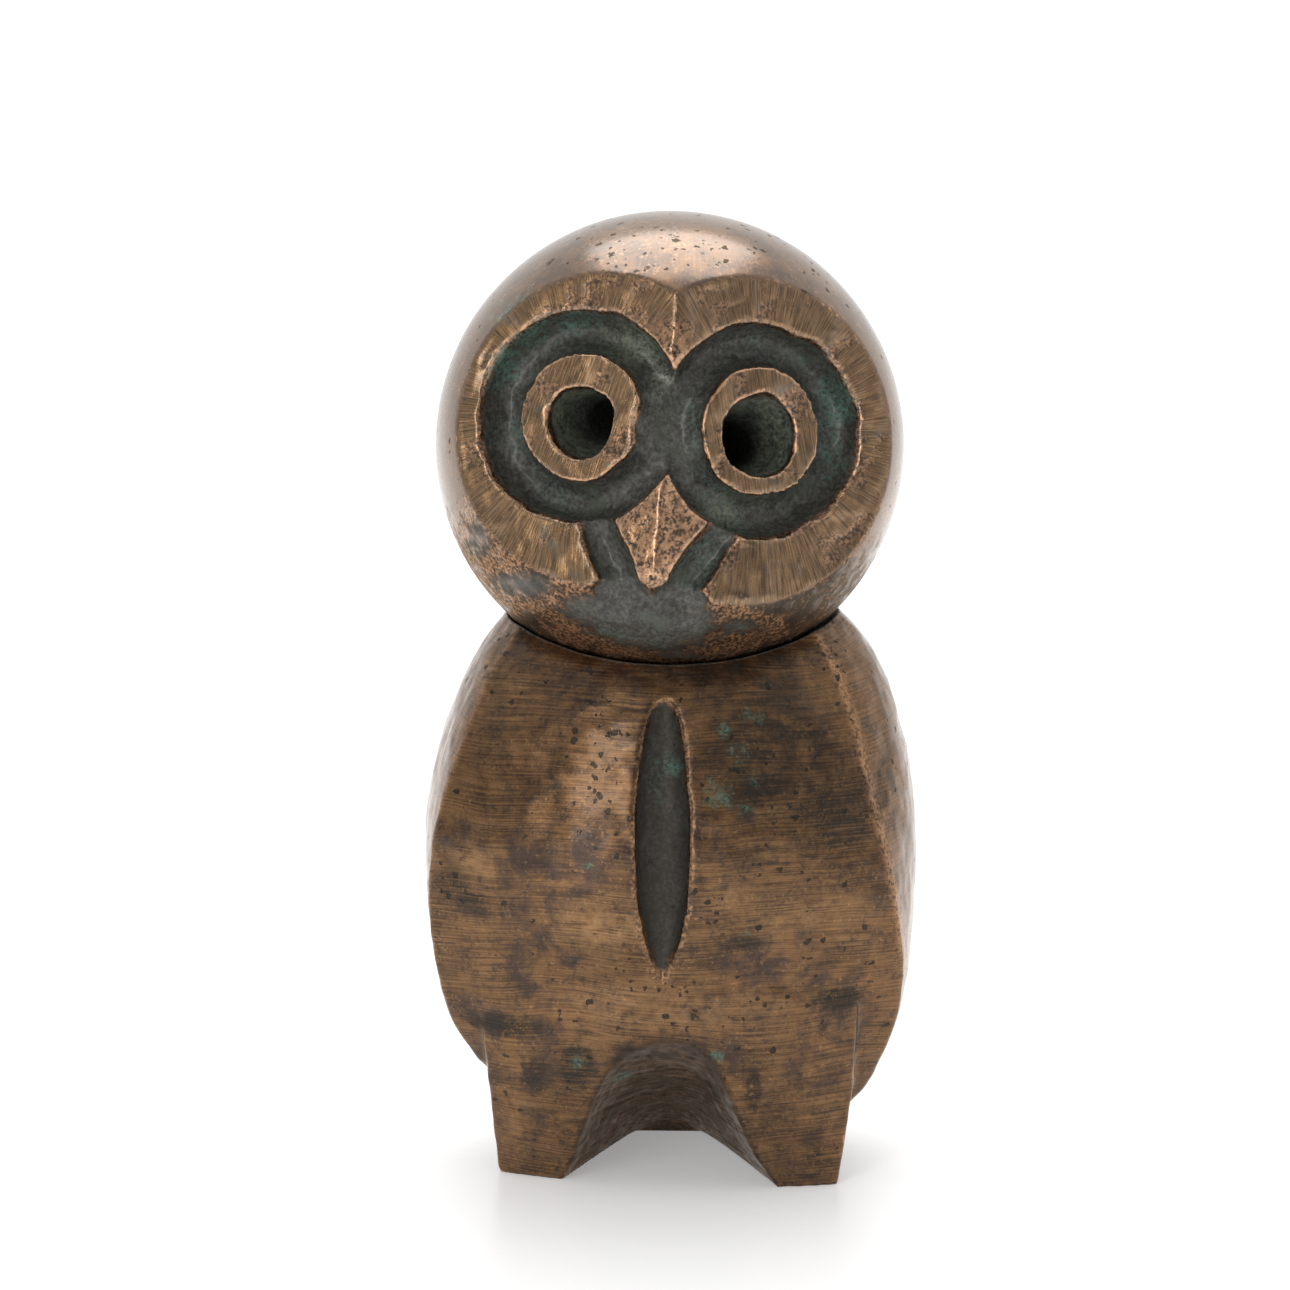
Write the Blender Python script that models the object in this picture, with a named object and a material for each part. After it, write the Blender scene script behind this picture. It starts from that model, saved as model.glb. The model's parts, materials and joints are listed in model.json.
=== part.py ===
"""A cast bronze owl whose ball head sits in a cup and turns on a sprung neck stud.

Metres, +Z up, the owl facing -Y. The origin is on the floor, under the middle of the
owl's bounding box. The head, the stud and what rides on the stud hang from one empty
at the centre of the ball, which leans as the head leans at rest.
"""

import math

import bmesh
import bpy
from mathutils import Matrix, Vector

MM = 0.001

# Driving dimensions
BALL_RADIUS = 29.1 * MM
BALL_CENTRE = Vector((0.0, -1.05 * MM, 90.4 * MM))
HEAD_LEAN = math.radians(4.8)
FACE_YAW = math.radians(1.5)
FACE_PITCH = math.radians(11.0)
SEAT_CLEARANCE = 1.1 * MM
GAP = 0.3 * MM

# Face, measured in the plane that the owl looks out of; -1 is the viewer's left and 1 the right
FLAT_DISTANCES = {-1: 22.0 * MM, 1: 21.1 * MM}
FLAT_YAW = math.radians(24.6)
FLAT_PITCH = math.radians(2.7)
EYE_ACROSS = {-1: -11.5 * MM, 1: 11.0 * MM}
EYE_UP = 2.8 * MM
RING_RADIUS = 7.8 * MM
GROOVE_RADIUS = 13.4 * MM
GROOVE_DEPTH = 3.7 * MM
GROOVE_SQUARENESS = 0.6
GROOVE_FLARE = 1.2 * MM
RING_FLARE = 0.4 * MM
CUTTER_PROUD = 8.0 * MM
EYE_RADII = {-1: 4.55 * MM, 1: 5.0 * MM}
EYE_DEPTH = 16.0 * MM
BEAK_GROOVE_RADIUS = 2.6 * MM
BEAK_GROOVE_TOP = Vector((9.2 * MM, -8.6 * MM))
BEAK_GROOVE_FOOT = -20.6 * MM
BEAK_GROOVE_SPARE = 2.0 * MM
BEAK_GROOVE_RISE = 1.8 * MM

# Body outline against height: its reach to each side, in front and behind, in millimetres
LEFT_WIDTH = (
    (3.5, 9.0), (8, 16.0), (12, 21.8), (17, 25.9), (25, 29.0), (42, 30.5), (54, 28.4), (65, 23.6), (73, 17.0)
)
RIGHT_WIDTH = ((3.5, 14.0), (8, 23.2), (15, 27.4), (24, 30.0), (42, 31.0), (54, 29.3), (65, 25.2), (73, 17.6))
FRONT_DEPTH = ((3.5, 8.0), (15, 17.5), (28, 23.8), (42, 26.0), (55, 23.8), (65.6, 17.2), (73, 8.0))
BACK_DEPTH = ((3.5, 9.0), (15, 20.0), (28, 25.8), (42, 28.2), (55, 26.8), (65, 23.5), (73, 16.0))
RIDGE_SHARE = ((3.5, 0.975), (26, 0.97), (42, 0.905), (52, 0.865), (65, 0.84), (73, 0.84))
RIDGE_DEPTH_SHARE = 0.68
BODY_BOTTOM = 3.5
BODY_TOP = 73.0

# Legs outline against height, and how far the right foot steps forward, in millimetres
LEFT_LEG_WIDTH = ((0, 21.2), (10, 21.9), (20, 22.8), (31, 22.8))
RIGHT_LEG_WIDTH = ((0, 21.4), (10, 22.8), (20, 23.6), (31, 23.6))
LEG_FRONT = ((0, 17.0), (8, 20.0), (15, 22.2), (24, 23.6), (31, 23.8))
LEG_BACK = ((0, 13.5), (10, 16.5), (31, 21.0))
LEG_FRONT_RADIUS = 46.0
LEG_TOP = 31.0
RIGHT_FOOT_STEP = 4.6

# Hollow between the legs: its outline's shares of half width and height, and its two ends
ARCH_OUTLINE = ((1.0, 0.0), (0.76, 0.46), (0.53, 0.80), (0.28, 0.96), (0.0, 1.0))
ARCH_FRONT = (-18.0, 14.0, 17.5)
ARCH_BACK = (7.0, 4.8, 0.9)
ARCH_REACH = -34.0
ARCH_BELOW = -2.0

# Chest groove
GROOVE_MIDDLE = 45.2
GROOVE_HALF_LENGTH = 17.3
GROOVE_HALF_WIDTH = 3.35

# Neck joint, as distances below the ball's centre, and radii
POCKET_RADIUS = 15.0 * MM
POCKET_FLOOR = 53.0 * MM
RETAINER_BORE = 7.4 * MM
RETAINER_UNDERSIDE = 33.5 * MM
SEAT_INNER = 8.6 * MM
SEAT_OUTER = 12.6 * MM
SEAT_THICKNESS = 0.6 * MM
STUD_RADIUS = 2.0 * MM
STUD_TOP = 15.0 * MM
STUD_FOOT = 50.0 * MM
DISH_RADIUS = 9.5 * MM
DISH_FLAT = 35.6 * MM
DISH_RIM = 1.0 * MM
DISH_FOOT_RADIUS = 6.1 * MM
SPRING_RADIUS = 4.6 * MM
SPRING_WIRE = 0.55 * MM
SPRING_TURNS = 4
SPRING_FOOT = 43.3 * MM
WASHER_RADIUS = 6.0 * MM
WASHER_THICKNESS = 1.0 * MM
NUT_ACROSS_FLATS = 7.0 * MM
NUT_HEIGHT = 3.2 * MM
NUT_SIDES = 6

# Round counts
BALL_SEGMENTS = 56
TURNED_SIDES = 36
SMALL_SIDES = 20

BRONZE = ("bronze", (0.30, 0.17, 0.10, 1.0), 0.42, 1.0)
LEATHER = ("leather", (0.05, 0.035, 0.03, 1.0), 0.75, 0.0)
STEEL = ("steel", (0.55, 0.55, 0.53, 1.0), 0.35, 1.0)


def clear_scene():
    for item in list(bpy.data.objects):
        bpy.data.objects.remove(item, do_unlink=True)


def smooth_value(points, at):
    """The value at a height of a smooth curve through (height, value) points."""
    heights = [p[0] for p in points]
    values = [p[1] for p in points]
    at = min(max(at, heights[0]), heights[-1])
    slopes = []
    for i in range(len(points)):
        low, high = max(i - 1, 0), min(i + 1, len(points) - 1)
        slopes.append((values[high] - values[low]) / (heights[high] - heights[low]))
    i = max(k for k in range(len(points) - 1) if heights[k] <= at)
    span = heights[i + 1] - heights[i]
    t = (at - heights[i]) / span
    rise = values[i + 1] - values[i]
    first = slopes[i] * span
    last = slopes[i + 1] * span
    return values[i] + t * first + t * t * (3 * rise - 2 * first - last) + t**3 * (first + last - 2 * rise)


def finish(name, mesh_data, look):
    item = bpy.data.objects.new(name, mesh_data)
    bpy.context.scene.collection.objects.link(item)
    if look:
        material = bpy.data.materials.get(name + "_" + look[0]) or bpy.data.materials.new(name + "_" + look[0])
        material.use_nodes = True
        shader = material.node_tree.nodes["Principled BSDF"]
        shader.inputs["Base Color"].default_value = look[1]
        shader.inputs["Roughness"].default_value = look[2]
        shader.inputs["Metallic"].default_value = look[3]
        mesh_data.materials.append(material)
    return item


def from_bmesh(name, shape, look=None):
    bmesh.ops.recalc_face_normals(shape, faces=shape.faces)
    mesh_data = bpy.data.meshes.new(name)
    shape.to_mesh(mesh_data)
    shape.free()
    return finish(name, mesh_data, look)


def loft(name, rings, look=None):
    """A closed solid through rings of points, with a flat cap on the first and the last."""
    shape = bmesh.new()
    loops = [[shape.verts.new(point) for point in ring] for ring in rings]
    count = len(loops[0])
    for lower, upper in zip(loops, loops[1:]):
        for i in range(count):
            j = (i + 1) % count
            shape.faces.new((lower[i], lower[j], upper[j], upper[i]))
    shape.faces.new(loops[0])
    shape.faces.new(loops[-1])
    return from_bmesh(name, shape, look)


def turned(name, profile, sides, look=None):
    """A closed solid turned about Z from a closed profile of (radius, height) points off the axis."""
    shape = bmesh.new()
    loops = []
    for k in range(sides):
        angle = 2 * math.pi * k / sides
        loops.append([shape.verts.new((r * math.cos(angle), r * math.sin(angle), z)) for r, z in profile])
    count = len(profile)
    for k in range(sides):
        near, far = loops[k], loops[(k + 1) % sides]
        for i in range(count):
            j = (i + 1) % count
            shape.faces.new((near[i], near[j], far[j], far[i]))
    return from_bmesh(name, shape, look)


def rod(name, radius, low, high, sides, look=None):
    """A plain round bar along Z."""
    rings = []
    for z in (low, high):
        rings.append([circle_point(radius, 2 * math.pi * k / sides, z) for k in range(sides)])
    return loft(name, rings, look)


def circle_point(radius, angle, z):
    return (radius * math.cos(angle), radius * math.sin(angle), z)


def ball(name, radius, centre, look=None):
    shape = bmesh.new()
    bmesh.ops.create_uvsphere(shape, u_segments=BALL_SEGMENTS, v_segments=BALL_SEGMENTS // 2, radius=radius)
    bmesh.ops.translate(shape, verts=shape.verts, vec=centre)
    return from_bmesh(name, shape, look)


def combine(target, tool, operation, solver="EXACT"):
    """A Boolean of the target with a helper shape, which is hidden and kept as a wire guide."""
    tool.hide_render = True
    tool.display_type = "WIRE"
    modifier = target.modifiers.new(tool.name, "BOOLEAN")
    modifier.operation = operation
    modifier.solver = solver
    modifier.object = tool


def shade(item, angle=35.0):
    item.data.shade_smooth()
    item.data.set_sharp_from_angle(angle=math.radians(angle))


def widened(points, width, left, right):
    """Points of one level, with each side stretched from the mean half width to its own."""
    return [(x * (left if x < 0 else right) / width, y) for x, y in points]


def at_height(points, height):
    """One level's points in place about the ball's axis."""
    return [(x * MM, BALL_CENTRE.y + y * MM, height * MM) for x, y in points]


def trunk_ring(height):
    """One level of the trunk: a shallow chest arc between two ridges, then the folded wings."""
    left = smooth_value(LEFT_WIDTH, height)
    right = smooth_value(RIGHT_WIDTH, height)
    width = (left + right) / 2
    front = smooth_value(FRONT_DEPTH, height)
    back = smooth_value(BACK_DEPTH, height)
    share = smooth_value(RIDGE_SHARE, height)
    ridge_x = share * width
    ridge_y = RIDGE_DEPTH_SHARE * front
    sag = front - ridge_y
    arc_radius = (ridge_x**2 + sag**2) / (2 * sag)
    half_angle = math.asin(ridge_x / arc_radius)
    points = []
    chest_steps = 14
    for i in range(chest_steps + 1):
        angle = half_angle * (2 * i / chest_steps - 1)
        points.append((arc_radius * math.sin(angle), -front + arc_radius * (1 - math.cos(angle))))
    start = math.acos(share)
    wing_depth = ridge_y / math.sin(start)
    wing_steps = 26
    for i in range(1, wing_steps):
        angle = -start + (math.pi + 2 * start) * i / wing_steps
        depth = wing_depth if math.sin(angle) < 0 else back
        points.append((width * math.cos(angle), depth * math.sin(angle)))
    return at_height(widened(points, width, left, right), height)


def trunk():
    levels = 24
    heights = [BODY_BOTTOM + (BODY_TOP - BODY_BOTTOM) * i / levels for i in range(levels + 1)]
    return loft("body", [trunk_ring(height) for height in heights], BRONZE)


def leg_ring(height):
    """One level of the legs and the tail stub: the chest's arc in front, square corners, round behind."""
    left = smooth_value(LEFT_LEG_WIDTH, height)
    right = smooth_value(RIGHT_LEG_WIDTH, height)
    width = (left + right) / 2
    front = smooth_value(LEG_FRONT, height)
    back = smooth_value(LEG_BACK, height)
    points = []
    front_steps = 10
    for i in range(front_steps + 1):
        x = width * (2 * i / front_steps - 1)
        points.append((x, -front + LEG_FRONT_RADIUS - math.sqrt(LEG_FRONT_RADIUS**2 - x * x)))
    back_steps = 16
    for i in range(back_steps + 1):
        angle = math.pi * i / back_steps
        points.append((width * math.cos(angle), back * math.sin(angle)))
    step = RIGHT_FOOT_STEP * (1 - height / LEG_TOP)
    stepped = [(x, y - step * max(x, 0) / width if y < 0 else y) for x, y in points]
    return at_height(widened(stepped, width, left, right), height)


def legs():
    levels = 6
    return loft("leg_block", [leg_ring(LEG_TOP * i / levels) for i in range(levels + 1)])


def arch():
    """The hollow between the legs: an arch at the front, running down to the floor at the back."""
    outline = list(ARCH_OUTLINE) + [(-x, z) for x, z in reversed(ARCH_OUTLINE[:-1])]
    rings = []
    steps = 4
    for i in range(steps + 1):
        y = ARCH_REACH + (ARCH_BACK[0] - ARCH_REACH) * i / steps
        share = (y - ARCH_FRONT[0]) / (ARCH_BACK[0] - ARCH_FRONT[0])
        width = ARCH_FRONT[1] + (ARCH_BACK[1] - ARCH_FRONT[1]) * share
        height = ARCH_FRONT[2] + (ARCH_BACK[2] - ARCH_FRONT[2]) * share
        ring = [(x * width, y, z * height) for x, z in outline]
        ring = [(width, y, ARCH_BELOW)] + ring + [(-width, y, ARCH_BELOW)]
        rings.append([(x * MM, BALL_CENTRE.y + v * MM, z * MM) for x, v, z in ring])
    return loft("arch_cutter", rings)


def chest_groove():
    """A spindle laid along the chest, half sunk in it."""
    rings = []
    steps = 12
    sides = 10
    for i in range(steps + 1):
        share = 0.985 * (2 * i / steps - 1)
        height = GROOVE_MIDDLE + GROOVE_HALF_LENGTH * share
        radius = GROOVE_HALF_WIDTH * (1 - share * share) ** 0.75
        front = -smooth_value(FRONT_DEPTH, height)
        ring = []
        for k in range(sides):
            angle = 2 * math.pi * k / sides
            x, y = radius * math.cos(angle), front + radius * math.sin(angle)
            ring.append((x * MM, BALL_CENTRE.y + y * MM, height * MM))
        rings.append(ring)
    return loft("chest_groove_cutter", rings)


def neck_pocket():
    bottom = BALL_CENTRE.z - POCKET_FLOOR
    item = rod("pocket_cutter", POCKET_RADIUS, bottom, BALL_CENTRE.z, TURNED_SIDES)
    item.location = (BALL_CENTRE.x, BALL_CENTRE.y, 0.0)
    return item


def body():
    item = trunk()
    combine(item, legs(), "UNION")
    combine(item, ball("cup_cutter", BALL_RADIUS + SEAT_CLEARANCE, BALL_CENTRE), "DIFFERENCE")
    combine(item, neck_pocket(), "DIFFERENCE")
    combine(item, arch(), "DIFFERENCE")
    combine(item, chest_groove(), "DIFFERENCE")
    shade(item)
    return item


def face_frame():
    """The frame that the face is laid out in: X to the viewer's right, Z up, -Y out of the face."""
    return Matrix.Rotation(FACE_YAW, 4, "Z") @ Matrix.Rotation(-FACE_PITCH, 4, "X")


def flat_frame(side):
    """The frame of one flat: its -Z points out of the flat, and its origin is on the flat."""
    turn = Matrix.Rotation(side * FLAT_YAW, 4, "Z") @ Matrix.Rotation(-FLAT_PITCH, 4, "X")
    out = Matrix.Translation((0.0, -FLAT_DISTANCES[side], 0.0))
    return turn @ out @ Matrix.Rotation(math.radians(-90.0), 4, "X")


def flats_meet():
    """How far across the face the two flats meet. The nearer flat pushes their ridge to its own side."""
    return (FLAT_DISTANCES[1] - FLAT_DISTANCES[-1]) / (2 * math.sin(FLAT_YAW))


def on_flat(side, x, z):
    """The point of a flat that shows at (x, z), seen from straight in front of the face."""
    normal = flat_frame(side).to_3x3() @ Vector((0.0, 0.0, -1.0))
    return Vector((x, (FLAT_DISTANCES[side] - normal.x * x - normal.z * z) / normal.y, z))


def eye_place(side):
    """The frame of one eye: its origin on the flat at the eye's centre, with +Z into the metal."""
    centre = on_flat(side, EYE_ACROSS[side], EYE_UP)
    return face_frame() @ Matrix.Translation(centre) @ flat_frame(side).to_3x3().to_4x4()


def place(item, matrix):
    item.data.transform(matrix)
    return item


def flat_cutter(side):
    """A block that files one flat on the ball."""
    size = 2 * BALL_RADIUS
    shape = bmesh.new()
    bmesh.ops.create_cube(shape, size=size)
    bmesh.ops.translate(shape, verts=shape.verts, vec=(0.0, 0.0, -size / 2))
    return place(from_bmesh("flat_cutter", shape), face_frame() @ flat_frame(side))


def eye_groove(side):
    """The rounded trench around one eye."""
    middle = (RING_RADIUS + GROOVE_RADIUS) / 2
    half = (GROOVE_RADIUS - RING_RADIUS) / 2
    profile = [(RING_RADIUS - RING_FLARE, -CUTTER_PROUD)]
    steps = 6
    for i in range(steps + 1):
        angle = math.pi * i / steps
        sunk = GROOVE_DEPTH * math.sin(angle) ** GROOVE_SQUARENESS
        profile.append((middle - half * math.cos(angle), sunk))
    profile.append((GROOVE_RADIUS + GROOVE_FLARE, -CUTTER_PROUD))
    return place(turned("eye_groove_cutter", profile, TURNED_SIDES), eye_place(side))


def eye_bore(side):
    item = rod("eye_cutter", EYE_RADII[side], -CUTTER_PROUD, EYE_DEPTH, SMALL_SIDES)
    return place(item, eye_place(side))


def beak_groove(side):
    """The slanted hollow that cuts one lower side of the beak free."""
    top = on_flat(side, flats_meet() + side * BEAK_GROOVE_TOP.x, BEAK_GROOVE_TOP.y)
    foot = Vector((flats_meet(), top.y - BEAK_GROOVE_RISE, BEAK_GROOVE_FOOT))
    along = foot - top
    far = along.length + 2 * BEAK_GROOVE_SPARE
    item = rod("beak_cutter", BEAK_GROOVE_RADIUS, -BEAK_GROOVE_SPARE, far, SMALL_SIDES // 2)
    turn = along.to_track_quat("Z", "Y").to_matrix().to_4x4()
    return place(item, face_frame() @ Matrix.Translation(top) @ turn)


def head():
    """The ball with its face. The flats make long slanted faces, which only MANIFOLD cuts cleanly."""
    item = ball("head", BALL_RADIUS, Vector(), BRONZE)
    cutters = [flat_cutter(side) for side in (-1, 1)]
    for side in (-1, 1):
        cutters += [eye_groove(side), eye_bore(side), beak_groove(side)]
    cutters.append(rod("stud_cutter", STUD_RADIUS + GAP, -STUD_FOOT, -STUD_TOP + GAP, SMALL_SIDES))
    for cutter in cutters:
        combine(item, cutter, "DIFFERENCE", "MANIFOLD")
    shade(item)
    return item


def sphere_drop(radius, across):
    """How far below the ball's centre a sphere of this radius is, at a distance from the axis."""
    return -math.sqrt(radius**2 - across**2)


def dished_profile(inner, outer, top_radius, bottom_radius, steps=3):
    """A ring between two spheres about the ball's centre."""
    across = [inner + (outer - inner) * i / steps for i in range(steps + 1)]
    upper = [(x, sphere_drop(top_radius, x)) for x in across]
    lower = [(x, sphere_drop(bottom_radius, x)) for x in reversed(across)]
    return lower + upper


def seat_washer():
    top = BALL_RADIUS + (SEAT_CLEARANCE - SEAT_THICKNESS) / 2
    bottom = top + SEAT_THICKNESS
    item = turned("seat_washer", dished_profile(SEAT_INNER, SEAT_OUTER, top, bottom), TURNED_SIDES, LEATHER)
    item.location = BALL_CENTRE
    return item


def retainer_ring():
    top = BALL_RADIUS + SEAT_CLEARANCE
    outer = POCKET_RADIUS - GAP
    item = turned("retainer_ring", dished_profile(RETAINER_BORE, outer, top, RETAINER_UNDERSIDE), TURNED_SIDES, STEEL)
    item.location = BALL_CENTRE
    shade(item)
    return item


def neck_stud():
    return rod("neck_stud", STUD_RADIUS, -STUD_FOOT, -STUD_TOP, SMALL_SIDES, STEEL)


def dished_washer():
    """A washer whose hollow top slides under the retainer ring, with a flat underside for the spring."""
    inner = STUD_RADIUS + GAP
    steps = 3
    top = RETAINER_UNDERSIDE + GAP
    across = [inner + (DISH_RADIUS - inner) * i / steps for i in range(steps + 1)]
    profile = [(inner, -DISH_FLAT), (DISH_FOOT_RADIUS, -DISH_FLAT)]
    profile.append((DISH_RADIUS, sphere_drop(top, DISH_RADIUS) - DISH_RIM))
    profile += [(x, sphere_drop(top, x)) for x in reversed(across)]
    return turned("dished_washer", profile, TURNED_SIDES, STEEL)


def spring():
    """A round-wire compression spring between the dished washer and the flat washer."""
    data = bpy.data.curves.new("neck_spring", "CURVE")
    data.dimensions = "3D"
    data.bevel_depth = SPRING_WIRE
    data.bevel_resolution = 2
    data.use_fill_caps = True
    per_turn = 14
    count = SPRING_TURNS * per_turn + 1
    top = -DISH_FLAT - GAP - SPRING_WIRE
    foot = -SPRING_FOOT + GAP + SPRING_WIRE
    spline = data.splines.new("POLY")
    spline.points.add(count - 1)
    for i, point in enumerate(spline.points):
        x, y, z = circle_point(SPRING_RADIUS, 2 * math.pi * i / per_turn, top + (foot - top) * i / (count - 1))
        point.co = (x, y, z, 1.0)
    return finish("neck_spring", data, STEEL)


def flat_washer():
    low = -SPRING_FOOT - WASHER_THICKNESS
    inner = STUD_RADIUS + GAP
    profile = [(inner, low), (WASHER_RADIUS, low), (WASHER_RADIUS, -SPRING_FOOT), (inner, -SPRING_FOOT)]
    return turned("flat_washer", profile, TURNED_SIDES, STEEL)


def lock_nut():
    high = -SPRING_FOOT - WASHER_THICKNESS - GAP
    outer = NUT_ACROSS_FLATS / math.sqrt(3)
    inner = STUD_RADIUS + GAP
    profile = [(inner, high - NUT_HEIGHT), (outer, high - NUT_HEIGHT), (outer, high), (inner, high)]
    return turned("lock_nut", profile, NUT_SIDES, STEEL)


def neck_pivot():
    """The empty at the ball's centre that carries everything which leans with the head."""
    pivot = bpy.data.objects.new("neck_pivot", None)
    bpy.context.scene.collection.objects.link(pivot)
    pivot.location = BALL_CENTRE
    pivot.rotation_euler = (0.0, HEAD_LEAN, 0.0)
    return pivot


def main():
    clear_scene()
    body()
    retainer_ring()
    seat_washer()
    pivot = neck_pivot()
    for item in (head(), neck_stud(), dished_washer(), spring(), flat_washer(), lock_nut()):
        item.parent = pivot
        for modifier in item.modifiers:
            if modifier.type == "BOOLEAN":
                modifier.object.parent = pivot


main()
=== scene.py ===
# %% [markdown]
# # A cast bronze owl with a ball for a head
# The real owl is two bronze castings, worked over with files and left to go brown. This lesson
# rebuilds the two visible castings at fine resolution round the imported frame, and gives the
# small steel and leather parts inside the neck a finish of their own.

# %% Load the frame
import json
import math

import bpy
import numpy as np
from mathutils import Matrix, Vector, noise

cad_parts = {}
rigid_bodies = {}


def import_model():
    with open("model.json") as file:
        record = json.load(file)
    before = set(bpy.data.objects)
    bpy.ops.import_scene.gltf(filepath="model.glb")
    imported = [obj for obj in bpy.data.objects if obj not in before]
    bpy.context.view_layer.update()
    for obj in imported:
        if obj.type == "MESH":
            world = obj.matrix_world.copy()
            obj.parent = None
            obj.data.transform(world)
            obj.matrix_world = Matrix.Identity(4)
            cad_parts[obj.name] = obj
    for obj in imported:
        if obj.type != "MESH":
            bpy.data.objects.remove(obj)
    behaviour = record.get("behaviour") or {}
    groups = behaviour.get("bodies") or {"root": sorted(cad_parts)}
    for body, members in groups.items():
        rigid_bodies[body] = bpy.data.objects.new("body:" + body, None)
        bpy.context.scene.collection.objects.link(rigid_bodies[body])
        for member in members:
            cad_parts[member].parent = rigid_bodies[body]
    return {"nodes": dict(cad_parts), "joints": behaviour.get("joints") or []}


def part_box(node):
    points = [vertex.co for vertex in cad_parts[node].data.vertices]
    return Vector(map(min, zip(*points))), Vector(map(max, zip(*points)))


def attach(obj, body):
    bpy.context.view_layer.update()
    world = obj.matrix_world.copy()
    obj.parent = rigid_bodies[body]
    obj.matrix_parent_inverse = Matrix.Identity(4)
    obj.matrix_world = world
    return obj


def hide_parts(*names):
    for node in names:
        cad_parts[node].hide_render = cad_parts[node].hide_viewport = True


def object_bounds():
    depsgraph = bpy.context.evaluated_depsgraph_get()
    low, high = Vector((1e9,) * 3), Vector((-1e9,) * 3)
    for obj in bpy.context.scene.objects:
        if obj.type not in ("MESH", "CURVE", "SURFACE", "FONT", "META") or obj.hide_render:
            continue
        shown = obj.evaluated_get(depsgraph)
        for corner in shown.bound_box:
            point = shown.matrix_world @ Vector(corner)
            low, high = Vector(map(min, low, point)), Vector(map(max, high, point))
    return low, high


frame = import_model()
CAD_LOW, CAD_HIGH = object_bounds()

MM = 0.001
print("frame:", sorted(frame["nodes"]))

# %% [markdown]
# ## Where things are
# The neck joint gives the centre of the ball and the lean of the stud. Everything on the head
# is laid out from that point, so the fine head sits exactly where the plain one does.

# %% Read the neck from the frame
turn_joint = next(joint for joint in frame["joints"] if joint["name"] == "neck_turn")
NECK = Vector(turn_joint["pos_m"])
STUD_AXIS = Vector(turn_joint["axis"])
HEAD_LEAN = math.atan2(STUD_AXIS.x, STUD_AXIS.z)
head_low, head_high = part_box("head")
BALL_RADIUS = (head_high.x - head_low.x) / 2
print("ball radius in mm:", round(BALL_RADIUS / MM, 2), "lean:", round(math.degrees(HEAD_LEAN), 2))

# %% [markdown]
# ## Small helpers
# Blender's operators act on what is selected, so each step starts from nothing selected. A
# carving tool is a mesh that is taken away from, or joined to, the casting and then thrown out.

# %% Helpers for modelling
def deselect():
    bpy.ops.object.select_all(action="DESELECT")


def choose(piece):
    deselect()
    piece.select_set(True)
    bpy.context.view_layer.objects.active = piece


def named(name):
    """Names the primitive that was just added."""
    piece = bpy.context.object
    piece.name = name
    piece.data.name = name
    return piece


def settle(piece, matrix):
    """Puts a piece in place in its mesh, so that its object stays at the origin."""
    piece.data.transform(matrix)
    piece.data.update()
    return piece


def apply_all(piece):
    choose(piece)
    for modifier in list(piece.modifiers):
        bpy.ops.object.modifier_apply(modifier=modifier.name)


def carve(piece, tool, operation="DIFFERENCE"):
    """Cuts a tool out of a piece, or joins it on, and throws the tool away."""
    modifier = piece.modifiers.new("carve", "BOOLEAN")
    modifier.operation = operation
    modifier.solver = "MANIFOLD"
    modifier.object = tool
    apply_all(piece)
    bpy.data.objects.remove(tool)
    return piece


# %% [markdown]
# ## The face
# The face is two flats filed on the front of the ball, like the two sides of a shallow roof,
# meeting in an upright ridge. It is laid out looking straight at it: X to the right, Z up and
# -Y out of the face. Each flat has a frame of its own, with -Z pointing out of the metal.

# %% Face dimensions
FACE_YAW = math.radians(1.5)
FACE_PITCH = math.radians(11.0)
FLAT_DISTANCES = {-1: 22.0 * MM, 1: 21.1 * MM}
FLAT_YAW = math.radians(24.6)
FLAT_PITCH = math.radians(2.7)
EYE_ACROSS = {-1: -11.5 * MM, 1: 10.6 * MM}
EYE_UP = 2.4 * MM
MIDLINE = (FLAT_DISTANCES[1] - FLAT_DISTANCES[-1]) / (2 * math.sin(FLAT_YAW))

HEAD_PLACE = (
    Matrix.Translation(NECK)
    @ Matrix.Rotation(HEAD_LEAN, 4, "Y")
    @ Matrix.Rotation(FACE_YAW, 4, "Z")
    @ Matrix.Rotation(-FACE_PITCH, 4, "X")
)


def flat_turn(side):
    facing = Matrix.Rotation(side * FLAT_YAW, 4, "Z") @ Matrix.Rotation(-FLAT_PITCH, 4, "X")
    return facing @ Matrix.Rotation(math.radians(-90), 4, "X")


def flat_normal(side):
    return flat_turn(side).to_3x3() @ Vector((0, 0, -1))


def on_flat(side, x, z):
    """The point of a flat that shows at (x, z), seen from straight in front."""
    normal = flat_normal(side)
    return Vector((x, (FLAT_DISTANCES[side] - normal.x * x - normal.z * z) / normal.y, z))


EYES = {side: on_flat(side, EYE_ACROSS[side], EYE_UP) for side in (-1, 1)}
print("eyes:", {side: [round(c / MM, 1) for c in eye] for side, eye in EYES.items()})
print("the flats meet", round(MIDLINE / MM, 2), "mm across")

# %% [markdown]
# The ball is a sphere primitive, cut flat twice with the bisect operator in edit mode.

# %% Ball and flats
deselect()
bpy.ops.mesh.primitive_uv_sphere_add(segments=160, ring_count=80, radius=BALL_RADIUS)
head = named("owl_head")
bpy.ops.object.mode_set(mode="EDIT")
for side in (-1, 1):
    bpy.ops.mesh.select_all(action="SELECT")
    normal = flat_normal(side)
    on_plane = normal * FLAT_DISTANCES[side]
    bpy.ops.mesh.bisect(plane_co=on_plane, plane_no=normal, use_fill=True, clear_outer=True)
bpy.ops.object.mode_set(mode="OBJECT")
print("ball with flats:", len(head.data.vertices), "points")

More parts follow.
